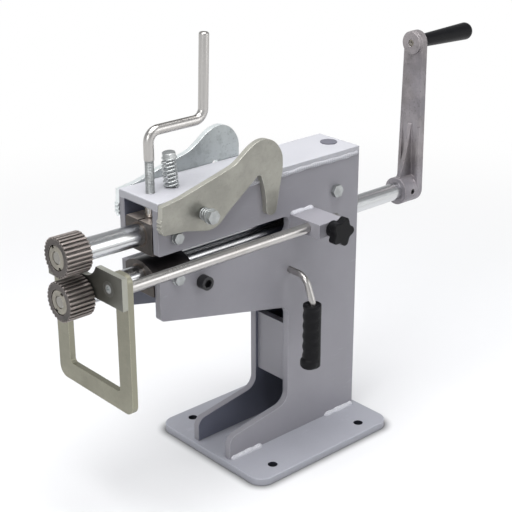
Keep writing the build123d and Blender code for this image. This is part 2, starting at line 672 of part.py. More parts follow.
def lever_grip():
    """Moulded grip: round palm side, finger waves on the -X side and a flared foot."""
    top = LEVER_HANG_Z - 1.0
    foot = top - LEVER_GRIP_LENGTH
    palm = rod_z(foot + 2.0, top, LEVER_GRIP_R)
    palm = fillet(palm.faces().sort_by(Axis.Z)[-1].edges(), 1.5)
    waves = 5
    pitch = (LEVER_GRIP_LENGTH - 18.0) / waves
    crests = [(LEVER_GRIP_R + 0.45 * (-1) ** step, top - 2.0 - pitch / 2 * step) for step in range(2 * waves + 1)]
    with BuildLine() as line:
        Spline((LEVER_GRIP_R - 1.0, top), *crests, (LEVER_GRIP_R, foot + 10.0))
        Polyline((LEVER_GRIP_R, foot + 10.0), (0, foot + 10.0), (0, top), (LEVER_GRIP_R - 1.0, top))
    fingers = Pos(-1.2, 0, 0) * revolve(Plane.XZ * make_face(line.line), Axis.Z)
    flare = rod_z(foot, foot + 15.0, 12.4, -4.6)
    flare = fillet(flare.edges().filter_by(GeomType.CIRCLE), 5.5)
    grip = palm + (fingers & box(-30, 1, -30, 30, foot, top)) + flare
    grip -= rod_z(LEVER_HANG_Z - LEVER_GRIP_LENGTH + 6.0, top + 1, LEVER_R)
    return Pos(LEVER_X, LEVER_HANG_Y, 0) * grip


def guard_outline():
    """Winged guard arm seen from the side: body, raised peak and hanging rear finger."""
    with BuildLine() as line:
        for tooth_z in (370.0, 375.0, 380.0):
            ThreePointArc((-226.0, tooth_z), (-228.0, tooth_z + 2.5), (-226.0, tooth_z + 5.0))
        Polyline((-226.0, 385.0), (-225.0, 401.5), (-197.8, 405.5), (-119.0, 426.0))
        Spline((-119.0, 426.0), (-103.0, 433.5), (-85.0, 445.5), (-66.0, 451.5), (-45.0, 444.5),
               (-34.0, 430.0), (-31.5, 412.0), tangents=((1, 0.27), (-0.02, -1)))
        Spline((-31.5, 412.0), (-36.0, 385.0), (-41.5, 357.0), tangents=((-0.02, -1), (-0.2, -1)))
        ThreePointArc((-41.5, 357.0), (-50.0, 348.5), (-59.0, 356.0))
        ThreePointArc((-59.0, 356.0), (-61.0, 380.0), (-67.0, 401.5))
        ThreePointArc((-67.0, 401.5), (-71.0, 406.3), (-76.5, 404.5))
        Polyline((-76.5, 404.5), (-128.0, 367.0))
        ThreePointArc((-128.0, 367.0), (-142.0, 356.5), (-158.0, 355.0))
        Polyline((-158.0, 355.0), (-190.0, 362.5), (-219.0, 364.5))
        ThreePointArc((-219.0, 364.5), (-224.3, 366.0), (-226.0, 370.0))
    return line.line


def guard_arm(side):
    arm = slab_xz(guard_outline(), -HALF - GUARD_PLATE - 0.3, -HALF - 0.3)
    arm -= rod_y(-HALF - GUARD_PLATE - 1, -HALF, 5.0 + RUNNING_FIT, *GUARD_PIVOT)
    return arm if side < 0 else mirror(arm, Plane.XZ)


def guard_spring(side):
    spring, _ = helix_spring(3, 7.2, 2.0, 13.0)
    spring = Pos(GUARD_PIVOT[0], -HALF - GUARD_PLATE - 0.6, GUARD_PIVOT[1]) * Rot(90, 0, 0) * spring
    return spring if side < 0 else mirror(spring, Plane.XZ)


def guard_bolt(side):
    seat = HALF + GUARD_PLATE + 0.6 + 13.2
    return hex_bolt(side, *GUARD_PIVOT, 10, seat, HALF - 9.0)


# ------------------------------------------------------------------ write parts

print("building the frame")
save("base_plate", base_plate())
save("side_plate_near", side_plate(-HALF, -INNER))
save("side_plate_far", side_plate(INNER, HALF))
save("top_plate", top_plate())
save("back_plate", back_plate())
save("column_web", box(WEB_X, WEB_X + PLATE, -INNER, INNER, WEB_LOW_Z, WEB_HIGH_Z))
save("frame_welds", *frame_welds())
save("gauge_block", gauge_block())
plug = rod_z(FRAME_HEIGHT - 6.0, FRAME_HEIGHT, 10.0, 96.5) + rod_z(FRAME_HEIGHT, FRAME_HEIGHT + 1.2, 11.5, 96.5)
save("column_plug", plug)

print("building the bearings")
front0 = BLOCK_FRONT_X - 2.5
save("lower_front_block", lower_front_block())
save("lower_rear_block", lower_rear_block())
save("lower_front_bush", bush(front0, front0 + BLOCK_LENGTH, LOWER_Z))
save("lower_rear_bush", bush(REAR_BLOCK_X, REAR_BLOCK_X + REAR_BLOCK_LENGTH, LOWER_Z))
block_bolts = []
for side in (-1, 1):
    block_bolts.append(hex_bolt(side, GUIDE_X, LOWER_Z, 8, HALF, 19.0))
    block_bolts.append(hex_bolt(side, PIVOT_X, LOWER_Z, 8, HALF, 19.0))
save("lower_block_bolts", *block_bolts)
cap_screws = []
for side in (-1, 1):
    screw = rod_y(-HALF - 12.0, -HALF, 9.0, -160.0, 286.0) + rod_y(-HALF, -INNER - 0.2, 6.0, -160.0, 286.0)
    socket = Pos(-160.0, -HALF - 6.0, 286.0) * Rot(90, 0, 0) * extrude(RegularPolygon(5.8, 6), amount=8.0)
    screw = screw - socket
    cap_screws.append(screw if side < 0 else mirror(screw, Plane.XZ))
save("arm_cap_screws", *cap_screws)
save("pivot_bolts", *[hex_bolt(side, PIVOT_X, UPPER_Z, 10, HALF, 18.0, washer=False) for side in (-1, 1)])

print("building the carrier")
save("upper_front_block", raised(upper_front_block()))
save("upper_rear_block", raised(upper_rear_block()))
save("upper_front_bush", raised(bush(BLOCK_FRONT_X, BLOCK_FRONT_X + BLOCK_LENGTH, UPPER_Z)))
save("upper_rear_bush", raised(bush(REAR_BLOCK_X, REAR_BLOCK_X + REAR_BLOCK_LENGTH, UPPER_Z)))
save("guide_bolts", *[raised(hex_bolt(side, GUIDE_X, UPPER_Z, 8, HALF + 0.3, 18.0)) for side in (-1, 1)])
save("lift_bolt", raised(lift_bolt()))
spring_height = SPRING_CLOSED_HEIGHT + rest_lift(LIFT_X) - 0.4
lift_spring, spring_gap = helix_spring(SPRING_TURNS, SPRING_R, SPRING_WIRE, spring_height)
print(f"lift spring: least gap between turns {spring_gap:.2f} mm")
save("lift_spring", leaned(Pos(LIFT_X, 0, FRAME_HEIGHT) * lift_spring) & box(-200, -150, -20, 20, FRAME_HEIGHT, 450))

print("building the shafts")
save("upper_shaft", raised(upper_shaft()))
save("upper_roll", raised(crimping_roll(UPPER_Z, 0.5)))
save("upper_roll_nut", raised(pin_nut(UPPER_Z, 62.0)))
save("upper_gear", raised(timing_gear(UPPER_Z, 0.5)))
save("upper_keys", *[raised(key) for key in keys(UPPER_Z)])
save("lower_shaft", lower_shaft())
save("lower_roll", crimping_roll(LOWER_Z, 0.0))
save("lower_roll_nut", pin_nut(LOWER_Z, 118.0))
save("lower_gear", timing_gear(LOWER_Z, 0.0))
save("lower_keys", *keys(LOWER_Z))

print("building the adjusting screw, gauge, crank, lever and guards")
save("adjusting_screw", adjusting_screw())
save("screw_foot", screw_foot())
save("gauge_plate", gauge_plate())
save("gauge_loop", gauge_loop())
save("gauge_screws", *gauge_screws())
save("gauge_rod", gauge_rod())
save("gauge_knob", gauge_knob())
save("crank_arm", crank_arm())
save("crank_set_screw", crank_set_screw())
save("grip_spindle", grip_spindle())
save("crank_grip", crank_grip())
save("lock_lever", lock_lever())
save("lever_grip", lever_grip())
save("guard_arm_near", guard_arm(-1))
save("guard_arm_far", guard_arm(1))
save("guard_bolts", *[guard_bolt(side) for side in (-1, 1)])
save("guard_springs", *[guard_spring(side) for side in (-1, 1)])
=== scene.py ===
"""Looks of a hand-cranked sheet metal crimper: finishes, threads, grips, stage and camera.

Lengths are metres in the frame of the CAD nodes: the rolls are at the -X end, the crank at the +X end.
"""

from math import cos, pi, radians, sin, sqrt, tan

import bmesh
import bpy
from bpy.types import Operator, Panel, PropertyGroup
from mathutils import Matrix, Vector


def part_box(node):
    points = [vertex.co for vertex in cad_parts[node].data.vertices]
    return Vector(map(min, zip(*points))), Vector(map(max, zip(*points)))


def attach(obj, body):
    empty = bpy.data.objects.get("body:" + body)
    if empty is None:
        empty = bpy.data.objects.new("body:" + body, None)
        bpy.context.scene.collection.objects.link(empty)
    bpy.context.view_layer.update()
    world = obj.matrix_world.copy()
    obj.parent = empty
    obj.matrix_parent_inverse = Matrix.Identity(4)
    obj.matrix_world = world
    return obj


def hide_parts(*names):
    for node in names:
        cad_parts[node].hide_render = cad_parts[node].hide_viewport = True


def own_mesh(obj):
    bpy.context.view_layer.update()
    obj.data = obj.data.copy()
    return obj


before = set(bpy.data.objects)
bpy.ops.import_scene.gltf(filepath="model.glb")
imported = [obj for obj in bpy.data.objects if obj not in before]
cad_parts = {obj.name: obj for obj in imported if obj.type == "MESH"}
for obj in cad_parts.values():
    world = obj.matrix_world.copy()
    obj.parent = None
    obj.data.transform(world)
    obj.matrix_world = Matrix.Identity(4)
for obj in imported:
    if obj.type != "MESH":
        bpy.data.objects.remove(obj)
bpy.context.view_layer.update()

bl_info = {
    "name": "Sheet Metal Crimper Looks",
    "version": (1, 0, 0),
    "blender": (4, 5, 0),
    "location": "3D View > Sidebar > Crimper",
    "description": "Finishes and small details of a hand-cranked sheet metal crimper",
    "category": "Object",
}

# Height of the lower shaft, then x and z of the pivot bolts and the carrier's tilt about them at rest.
LOWER_AXIS_Z = 0.3005
PIVOT = (0.073, 0.3505)
REST_TILT = radians(0.85)

# Radius of the teeth at their roots and crests.
ROLL_ROOT, ROLL_CREST = 0.0227, 0.0252
GEAR_ROOT, GEAR_CREST = 0.0225, 0.0270

# Faces of the frame: outside of the cheeks, top of the base plate, the hollow between the cheeks.
CHEEK_FACE_Y = 0.038
BASE_TOP_Z = 0.010
HOLLOW_HALF_Y = 0.028
HOLLOW_BACK_X = 0.107
HOLLOW_TOP_Z = 0.394

# Distance along a weld from one station of its mesh to the next.
WELD_STEP = 0.0005


# Shader maths

class Value:
    """A shader socket's value, so that shader maths reads as a Python expression."""

    def __init__(self, finish, socket):
        self.finish = finish
        self.socket = socket

    def apply(self, operation, *terms):
        return self.finish.node("ShaderNodeMath", {"operation": operation}, dict(enumerate(terms)))

    def __add__(self, other):
        return self.apply("ADD", self, other)

    __radd__ = __add__

    def __sub__(self, other):
        return self.apply("SUBTRACT", self, other)

    def __rsub__(self, other):
        return self.apply("SUBTRACT", other, self)

    def __mul__(self, other):
        return self.apply("MULTIPLY", self, other)

    __rmul__ = __mul__

    def __gt__(self, other):
        return self.apply("GREATER_THAN", self, other)

    def __lt__(self, other):
        return self.apply("LESS_THAN", self, other)

    def size(self):
        return self.apply("ABSOLUTE", self)

    def root(self):
        return self.apply("SQRT", self)

    def larger(self, other):
        return self.apply("MAXIMUM", self, other)

    def ramp(self, low, high):
        """0 below low, 1 above high, smooth between."""
        return self.finish.node("ShaderNodeMapRange", {"interpolation_type": "SMOOTHSTEP"},
                                {"Value": self, "From Min": low, "From Max": high})


class Nodes:
    """A node tree, and the fields that vary over a surface."""

    def __init__(self, owner):
        owner.use_nodes = True
        self.tree = owner.node_tree
        self.tree.nodes.clear()

    def node(self, kind, settings=None, sockets=None, output=0):
        """Add a node: its settings first, then the values or links of its sockets."""
        made = self.tree.nodes.new(kind)
        for name, setting in (settings or {}).items():
            if name == "stops":
                while len(made.color_ramp.elements) < len(setting):
                    made.color_ramp.elements.new(0.5)
                for element, (place, colour) in zip(made.color_ramp.elements, setting):
                    element.position = place
                    element.color = (*colour, 1.0)
            else:
                setattr(made, name, setting)
        for name, given in (sockets or {}).items():
            if isinstance(given, Value):
                self.tree.links.new(given.socket, made.inputs[name])
            else:
                made.inputs[name].default_value = given
        return Value(self, made.outputs[output]) if made.outputs else None

    def rays(self, *kinds):
        """1 for the kinds of ray named, 0 for the others."""
        wanted, *others = [self.node("ShaderNodeLightPath", output="Is %s Ray" % kind) for kind in kinds]
        for other in others:
            wanted = wanted.larger(other)
        return wanted

    def place(self):
        return self.node("ShaderNodeTexCoord", output="Object")

    def parts(self, vector):
        """x, y and z of a vector."""
        first = self.node("ShaderNodeSeparateXYZ", sockets={0: vector})
        return [Value(self, socket) for socket in first.socket.node.outputs]

    def stretched(self, scale):
        """The place on the object, with its own scale along each axis."""
        return self.node("ShaderNodeVectorMath", {"operation": "MULTIPLY"}, {0: self.place(), 1: scale})

    def noise(self, scale, detail=3.0, rough=0.55, vector=None):
        """Smooth random field, 0 to 1; scale is in patches per metre."""
        return self.node("ShaderNodeTexNoise", {}, {"Vector": vector or self.place(), "Scale": scale,
                                                    "Detail": detail, "Roughness": rough})

    def grain(self, along, across, lengthwise):
        """Fine lines drawn along one axis: narrow across it, long on it."""
        scale = [across] * 3
        scale["XYZ".index(along)] = lengthwise
        return self.noise(1.0, 2.0, 0.6, self.stretched(scale))

    def mix(self, factor, first, second):
        """The first colour where factor is 0, the second where it is 1."""
        first_colour, second_colour, result = 6, 7, 2
        sockets = {0: factor}
        for index, colour in ((first_colour, first), (second_colour, second)):
            sockets[index] = colour if isinstance(colour, Value) else (*colour, 1.0)
        return self.node("ShaderNodeMix", {"data_type": "RGBA", "clamp_factor": True}, sockets, result)

    def facing(self, axis):
        """How far the surface looks along an axis, either way: 0 to 1."""
        return self.parts(self.node("ShaderNodeNewGeometry", output="Normal"))["XYZ".index(axis)].size()

    def soft_edges(self, radius):
        """Normals rounded near the edges, as a deburred or painted edge is."""
        return self.node("ShaderNodeBevel", {"samples": 4}, {"Radius": radius})

    def edge_mask(self, radius):
        """About 1 on the outer and inner edges, 0 on the flats."""
        plain = self.node("ShaderNodeNewGeometry", output="Normal")
        meet = self.node("ShaderNodeVectorMath", {"operation": "DOT_PRODUCT"},
                         {0: self.soft_edges(radius), 1: plain}, output="Value")
        return (1 - meet).ramp(0.02, 0.22)

    def bump(self, height, depth, edges):
        """Normal of a height field: 1 in the field stands depth metres above 0."""
        return self.node("ShaderNodeBump", {}, {
            "Strength": 1.0, "Distance": depth, "Height": height, "Normal": self.soft_edges(edges)})


class Finish(Nodes):
    """One material with its surface shader."""

    def __init__(self, name, **constants):
        self.material = bpy.data.materials.new(name)
        super().__init__(self.material)
        self.surface = self.node("ShaderNodeBsdfPrincipled", sockets={
            socket.replace("_", " "): constant for socket, constant in constants.items()})

    def vary(self, **fields):
        """Link what varies over the surface to the shader."""
        for socket, value in fields.items():
            self.tree.links.new(value.socket, self.surface.socket.node.inputs[socket.replace("_", " ")])
        return self.surface

    def feed(self, **fields):
        """Link what varies and give back the finished material."""
        return self.show(self.vary(**fields))

    def show(self, shader):
        self.node("ShaderNodeOutputMaterial", sockets={"Surface": shader})
        return self.material


def shade(colour, factor):
    return tuple(min(1.0, channel * factor) for channel in colour)


def tinted(colour, factors):
    return tuple(channel * factor for channel, factor in zip(colour, factors))


# Finishes

def hollow_shade_mask(finish):
    """1 on the faces between the cheeks, where painted shade goes, fading to 0 within a millimetre of the
    plate.
    """
    near, far, floor_far = 0.0002, 0.0012, 0.0010
    x, y, z = finish.parts(finish.place())
    within = 1 - y.size().ramp(HOLLOW_HALF_Y + near, HOLLOW_HALF_Y + far)
    within = within * (1 - x.ramp(HOLLOW_BACK_X + near, HOLLOW_BACK_X + far))
    within = within * (1 - z.ramp(HOLLOW_TOP_Z + near, HOLLOW_TOP_Z + far))
    return within * z.ramp(BASE_TOP_Z + near, BASE_TOP_Z + floor_far)


def bore_shade_mask(finish, box):
    """1 on the walls of a plate's upright bores, where painted shade goes, 0 on its faces and outer edges."""
    (left, front, _), (right, back, _) = box
    rim = 0.006
    x, y, _ = finish.parts(finish.place())
    inboard = (x > left + rim) * (x < right - rim) * (y > front + rim) * (y < back - rim)
    return inboard * (1 - finish.facing("Z").ramp(0.3, 0.7))


def satin_paint(name, colour, inside=None, bored_box=None, scuffs=0.3):
    """Grey satin paint on plate: slight orange peel, faint clouds, scuffs, thin bright rims of painted
    highlight, and painted shade between the cheeks and in the bores.
    """
    finish = Finish(name, IOR=1.5)
    clouds = finish.noise(14.0, 4.0)
    dust = finish.noise(420.0, 2.0)
    marks = finish.noise(1.0, 3.0, 0.6, finish.stretched((38.0, 60.0, 260.0))).ramp(0.60, 0.72)
    marks = marks * finish.noise(9.0).ramp(0.5, 0.66) * scuffs
    edge = finish.edge_mask(0.0014)
    base = finish.mix(clouds, shade(colour, 0.90), shade(colour, 1.08))
    base = finish.mix(dust.ramp(0.56, 0.8) * 0.3, base, shade(colour, 0.80))
    # Painted shade: the faces between the cheeks take the dark inside colour.
    if inside:
        base = finish.mix(hollow_shade_mask(finish) * (0.8 + 0.2 * clouds), base, inside)
    # Painted shade: the walls of the bores, darker still.
    if bored_box:
        base = finish.mix(bore_shade_mask(finish, bored_box), base, shade(inside, 0.2))
    base = finish.mix(marks, base, shade(colour, 1.35))
    # Painted highlight: thin bright rims along the edges.
    base = finish.mix(edge * 0.85, base, shade(colour, 1.75))
    peel = finish.noise(650.0, 2.0) + 0.6 * finish.noise(90.0)
    return finish.feed(Base_Color=base, Roughness=0.30 + 0.12 * clouds + 0.15 * marks,
                       Normal=finish.bump(peel, 0.00007, 0.0012))


def plated_sheet(name, colour, cloud_colour, brushed, mottled, flat="Y", cut=1.9):
    """Zinc plated steel plate: clouds in the passivation, fine grinding lines, and painted highlights on its
    thin side faces, as light as cut sets, and on its edges.
    """
    finish = Finish(name, IOR=1.5)
    clouds = finish.noise(24.0, 5.0, 0.62)
    blotches = finish.noise(75.0, 4.0, 0.65).ramp(0.50, 0.62)
    specks = finish.noise(330.0, 3.0).ramp(0.60, 0.70)
    lines = finish.grain(brushed, 900.0, 22.0)
    edge = finish.edge_mask(0.0010)
    highlit_side_faces = 1 - finish.facing(flat).ramp(0.3, 0.7)
    base = finish.mix(clouds.ramp(0.3, 0.7), shade(colour, 0.92), cloud_colour)
    base = finish.mix(blotches * mottled * 0.6, base, shade(colour, 0.68))
    base = finish.mix(specks * mottled * 0.6, base, shade(colour, 0.5))
    base = finish.mix(lines * 0.25, base, shade(colour, 1.25))
    # Painted highlight: the plate's thin side faces made lighter.
    base = finish.mix(highlit_side_faces * (0.7 + 0.3 * clouds), base, shade(colour, cut))
    # Painted highlight: brighter still along the edges.
    base = finish.mix(edge, base, shade(colour, 2.3))
    rough = 0.27 + 0.10 * clouds + 0.12 * lines + 0.06 * highlit_side_faces
    height = lines + 0.5 * finish.noise(60.0)
    return finish.feed(Base_Color=base, Roughness=rough, Metallic=0.85 + 0.1 * edge,
                       Normal=finish.bump(height, 0.00003, 0.0010))


def turned_bar(name, colour, along, rough):
    """Bright drawn or ground bar: fine rings round it, faint drawing lines, handling marks and painted
    highlights along its edges.
    """
    finish = Finish(name, IOR=1.8)
    drawn = finish.grain(along, 700.0, 9.0)
    rings = finish.grain(along, 6.0, 1900.0)
    smears = finish.noise(32.0, 4.0, 0.6)
    stain = finish.noise(11.0, 5.0, 0.65).ramp(0.52, 0.72)
    edge = finish.edge_mask(0.0006)
    sawn = finish.facing(along).ramp(0.93, 0.99)
    base = finish.mix(drawn, shade(colour, 0.86), shade(colour, 1.08))
    base = finish.mix(sawn, base, tinted(colour, (0.42, 0.40, 0.36)))
    base = finish.mix(stain * 0.35, base, tinted(colour, (0.72, 0.66, 0.60)))
    # Painted highlight along the edges.
    base = finish.mix(edge * 0.6, base, shade(colour, 1.2))
    return finish.feed(Base_Color=base, Metallic=1.0 - 0.15 * stain,
                       Roughness=rough + 0.12 * smears + 0.06 * rings,
                       Normal=finish.bump(rings + 0.7 * drawn, 0.000012, 0.0006))


def hardened_roll(name, colour, axis, root, crest):
    """Oiled roll or gear, with painted shade between its teeth, deeper where oil stands, and painted
    highlights on its edges; axis is its height at x = 0 and its fall along X.
    """
    finish = Finish(name, IOR=1.6)
    x, y, z = finish.parts(finish.place())
    height, fall = axis
    up = z - height + fall * x
    radius = (y * y + up * up).root()
    ground = radius.ramp(crest - 0.0005, crest - 0.0001)
    groove = 1 - radius.ramp(root + 0.0002, crest - 0.0004)
    spots = finish.noise(130.0, 5.0, 0.65)
    mill = finish.grain("X", 60.0, 2600.0)
    oil = finish.noise(26.0, 4.0).ramp(0.45, 0.7)
    base = finish.mix(spots, shade(colour, 0.72), shade(colour, 1.25))
    # Painted shade between the teeth, deeper where the oil noise is high.
    base = finish.mix(groove * (0.65 + 0.3 * oil), base, shade(colour, 0.16))
    base = finish.mix(ground * (0.25 + 0.5 * spots), base, shade(colour, 1.7))
    edge = finish.edge_mask(0.0005)
    # Painted highlight along the edges.
    base = finish.mix(edge * 0.8, base, shade(colour, 3.0))
    rough = 0.42 - 0.1 * ground + 0.12 * spots - 0.1 * oil * groove
    return finish.feed(Base_Color=base, Metallic=0.75 + 0.2 * ground, Roughness=rough,
                       Normal=finish.bump(mill + spots, 0.00003, 0.0005))


def machined_block(name, colour, top_colour, rough=0.36):
    """Mill-scaled steel block: dark brown flanks, tool marks, the top colour on the top faces (a painted
    highlight where it is light) and painted highlights on the edges.
    """
    finish = Finish(name, IOR=1.6)
    edge_highlight = (0.42, 0.38, 0.35)
    top = finish.parts(finish.node("ShaderNodeNewGeometry", output="Normal"))[2].ramp(0.7, 0.95)
    scale = finish.noise(48.0, 6.0, 0.68)
    pits = finish.noise(260.0, 4.0, 0.7).ramp(0.58, 0.74)
    marks = finish.grain("Y", 1300.0, 26.0)
    edge = finish.edge_mask(0.0008)
    base = finish.mix(scale.ramp(0.32, 0.68), shade(colour, 0.7), shade(colour, 1.35))
    base = finish.mix(pits * 0.5, base, shade(colour, 0.35))
    # Top faces take the top colour: on the rear and upper blocks a light one, painted highlight of lit tops.
    base = finish.mix(top * (0.6 + 0.35 * scale), base, top_colour)
    # Painted highlight: lighter edges.
    base = finish.mix(edge * 0.6, base, edge_highlight)
    return finish.feed(Base_Color=base, Metallic=0.7 + 0.25 * edge, Roughness=rough + 0.2 * scale,
                       Normal=finish.bump(marks + scale + 0.5 * pits, 0.00005, 0.0008))


def plated_fastener(name, colour, rough):
    """Zinc plated bolt or nut: painted highlights on its soft edges, fine forging texture, dulled patches."""
    finish = Finish(name, IOR=1.8)
    dull = finish.noise(95.0, 4.0, 0.6)
    forged = finish.noise(900.0, 3.0)
    edge = finish.edge_mask(0.0005)
    base = finish.mix(dull.ramp(0.35, 0.7), shade(colour, 0.78), shade(colour, 1.1))
    # Painted highlight along the edges.
    base = finish.mix(edge * 0.7, base, shade(colour, 1.35))
    return finish.feed(Base_Color=base, Metallic=0.88 + 0.1 * edge, Roughness=rough + 0.22 * dull,
                       Normal=finish.bump(forged + dull, 0.00004, 0.0006))


def sunk_screw(name, colour, filled, centre):
    """Countersunk screw ground flush, its rim dulled like the plate; centre is its y, unsigned, and its z."""
    finish = Finish(name, IOR=1.6)
    _, y, z = finish.parts(finish.place())
    across, up = y.size() - centre[0], z - centre[1]
    out = (across * across + up * up).root()
    rim = out.ramp(0.0056, 0.0066)
    groove = out.ramp(0.0050, 0.0056) * (1 - out.ramp(0.0058, 0.0064))
    worn = finish.noise(420.0, 4.0, 0.65)
    base = finish.mix(worn, shade(colour, 0.62), shade(colour, 1.15))
    base = finish.mix(rim * (0.85 + 0.15 * worn), base, filled)
    base = finish.mix(groove * 0.8, base, shade(filled, 0.35))
    base = finish.mix(finish.edge_mask(0.0005) * (1 - rim), base, shade(colour, 0.25))
    return finish.feed(Base_Color=base, Metallic=0.85 + 0.1 * rim, Roughness=0.30 + 0.2 * worn,
                       Normal=finish.bump(worn - 2.0 * groove, 0.00005, 0.0004))


def blackened_screw(name, colour):
    """Black oxide socket screw: satin black, worn to steel on the rim."""
    finish = Finish(name, IOR=1.5)
    worn_steel = (0.30, 0.29, 0.28)
    wear = finish.edge_mask(0.0004) * finish.noise(400.0).ramp(0.4, 0.6)
    haze = finish.noise(180.0, 3.0)
    base = finish.mix(haze, shade(colour, 0.7), shade(colour, 1.6))
    base = finish.mix(wear * 0.6, base, worn_steel)
    return finish.feed(Base_Color=base, Metallic=0.2 + 0.6 * wear, Roughness=0.34 + 0.14 * haze,
                       Normal=finish.bump(haze, 0.00003, 0.0006))


def sand_casting(name, colour):
    """Rough cast arm, tumbled smooth: grainy skin, darker and lighter brown patches, bluish patches of
    painted reflection, and painted highlights on its edges.
    """
    finish = Finish(name, IOR=1.5)
    skin = finish.noise(520.0, 4.0, 0.7)
    swell = finish.noise(70.0, 3.0)
    tinge = finish.noise(22.0, 6.0, 0.66)
    pits = finish.noise(300.0, 2.0).ramp(0.60, 0.70)
    blue = finish.noise(9.0, 3.0).ramp(0.46, 0.62)
    edge = finish.edge_mask(0.0018)
    base = finish.mix(tinge.ramp(0.34, 0.66), shade(colour, 0.66), shade(colour, 1.22))
    # Painted reflection: bluish patches.
    base = finish.mix(blue * 0.3, base, tinted(colour, (1.05, 1.14, 1.36)))
    base = finish.mix(pits * 0.6, base, shade(colour, 0.42))
    base = finish.mix(skin * 0.3, base, shade(colour, 1.3))
    # Painted highlight along the edges.
    base = finish.mix(edge * 0.6, base, shade(colour, 2.0))
    return finish.feed(Base_Color=base, Metallic=0.5 + 0.25 * edge, Roughness=0.36 + 0.16 * skin,
                       Normal=finish.bump(skin + 2.0 * swell - 0.8 * pits, 0.00022, 0.0018))


def bored_bronze(name, colour):
    """Sintered bronze bush, oiled: porous, darker where the oil stands."""
    finish = Finish(name, IOR=1.5)
    pores = finish.noise(1500.0, 3.0, 0.7)
    oil = finish.noise(80.0, 4.0).ramp(0.4, 0.7)
    base = finish.mix(pores, shade(colour, 0.7), shade(colour, 1.1))
    base = finish.mix(oil * 0.5, base, shade(colour, 0.35))
    return finish.feed(Base_Color=base, Metallic=0.85 - 0.1 * pores, Roughness=0.4 - 0.12 * oil,
                       Normal=finish.bump(pores, 0.00003, 0.0005))


def moulded_black(name, colour, rough):
    """Black moulded plastic: fine spark texture, handling sheen painted as lighter patches, pale dust and
    painted highlights on its edges.
    """
    finish = Finish(name, IOR=1.26)
    pale_dust = (0.05, 0.049, 0.047)
    spark = finish.noise(1400.0, 3.0, 0.6)
    sheen = finish.noise(38.0, 4.0)
    dust = finish.noise(240.0, 4.0, 0.7).ramp(0.62, 0.82)
    edge = finish.edge_mask(0.0008)
    base = finish.mix(sheen, shade(colour, 0.8), shade(colour, 1.5))
    base = finish.mix(dust * 0.05, base, pale_dust)
    # Painted highlight along the edges.
    base = finish.mix(edge * 0.3, base, shade(colour, 3.0))
    return finish.feed(Base_Color=base, Roughness=rough + 0.16 * sheen + 0.1 * dust,
                       Normal=finish.bump(spark + 0.5 * sheen, 0.00003, 0.0009))


# Mesh helpers

def coat(material, *nodes):
    """Give CAD nodes, by name, one material."""
    for node in nodes:
        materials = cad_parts[node].data.materials
        materials.clear()
        materials.append(material)


def circle(radius, count):
    """Points (x, y) round the origin, counted from +X."""
    turns = [2 * pi * i / count for i in range(count)]
    return [(radius * cos(turn), radius * sin(turn)) for turn in turns]


def skin(build, rings):
    """Join rings of points, each given in order, into one closed skin."""
    loops = [[build.verts.new(point) for point in ring] for ring in rings]
    count = len(loops[0])
    for low, high in zip(loops, loops[1:]):
        for i in range(count):
            j = (i + 1) % count
            build.faces.new((low[i], low[j], high[j], high[i]))
    build.faces.new(loops[0][::-1])
    build.faces.new(loops[-1])


def mesh_of(name, build, sharp_from):
    """Turn a bmesh into a mesh: smooth, but sharp where faces meet at that many degrees or more."""
    bmesh.ops.recalc_face_normals(build, faces=build.faces)
    for face in build.faces:
        face.smooth = True
    for edge in build.edges:
        edge.smooth = len(edge.link_faces) == 2 and edge.calc_face_angle(0.0) < radians(sharp_from)
    mesh = bpy.data.meshes.new(name)
    build.to_mesh(mesh)
    build.free()
    return mesh


def add_object(name, data):
    made = bpy.data.objects.new(name, data)
    bpy.context.scene.collection.objects.link(made)
    return made


def new_piece(name, build, material, body, slot, *nodes, sharp_from=38):
    """Put a built mesh in the scene on its body, standing for the CAD nodes given."""
    mesh = mesh_of(name, build, sharp_from)
    mesh.materials.append(material)
    piece = add_object(name, mesh)
    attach(piece, body)
    if nodes:
        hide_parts(*nodes)
    return piece


def rounded_path(corners, radius, steps=10):
    """Points of a polyline whose inner corners are arcs of one radius."""
    corners = [Vector(corner) for corner in corners]
    points = [corners[0]]
    for before, corner, after in zip(corners, corners[1:], corners[2:]):
        inward, outward = (corner - before).normalized(), (after - corner).normalized()
        turn = inward.angle(outward)
        run = radius * tan(turn / 2)
        start = corner - inward * run
        centre = start + (outward - inward * outward.dot(inward)).normalized() * radius
        spoke, axis = start - centre, inward.cross(outward)
        points += [centre + Matrix.Rotation(turn * i / steps, 3, axis) @ spoke for i in range(steps + 1)]
    return points + [corners[-1]]


def sweep(build, points, radii, sides=32):
    """A round bar along points, with a radius at each."""
    tangents = [(b - a).normalized() for a, b in zip(points, points[1:])]
    inner = [(a + b).normalized() for a, b in zip(tangents, tangents[1:])]
    tangents = [tangents[0], *inner, tangents[-1]]
    side = tangents[0].orthogonal().normalized()
    rings = []
    for point, tangent, radius in zip(points, tangents, radii):
        side = (side - tangent * side.dot(tangent)).normalized()
        other = tangent.cross(side)
        rings.append([point + radius * (side * cos(t) + other * sin(t))
                      for t in (2 * pi * i / sides for i in range(sides))])
    skin(build, rings)


def threaded_rod(build, place, low, high, outer, depth, pitch):
    """A rod with a real helical thread; place(x, y, z) puts a point of it in the frame."""
    sides, rings_per_pitch, end_depth, flank = 24, 8, 0.15, 1.25
    rings = []
    count = round((high - low) / pitch * rings_per_pitch)
    for step in range(count + 1):
        z = low + (high - low) * step / count
        fade = max(min(1.0, (high - z) / pitch, (z - low) / pitch), end_depth)
        ring = []
        for i, (across, up) in enumerate(circle(1.0, sides)):
            phase = (z / pitch - i / sides) % 1.0
            radius = outer - depth * min(1.0, abs(2 * phase - 1) * flank) * fade
            ring.append(place(radius * across, radius * up, z))
        rings.append(ring)
    skin(build, rings)


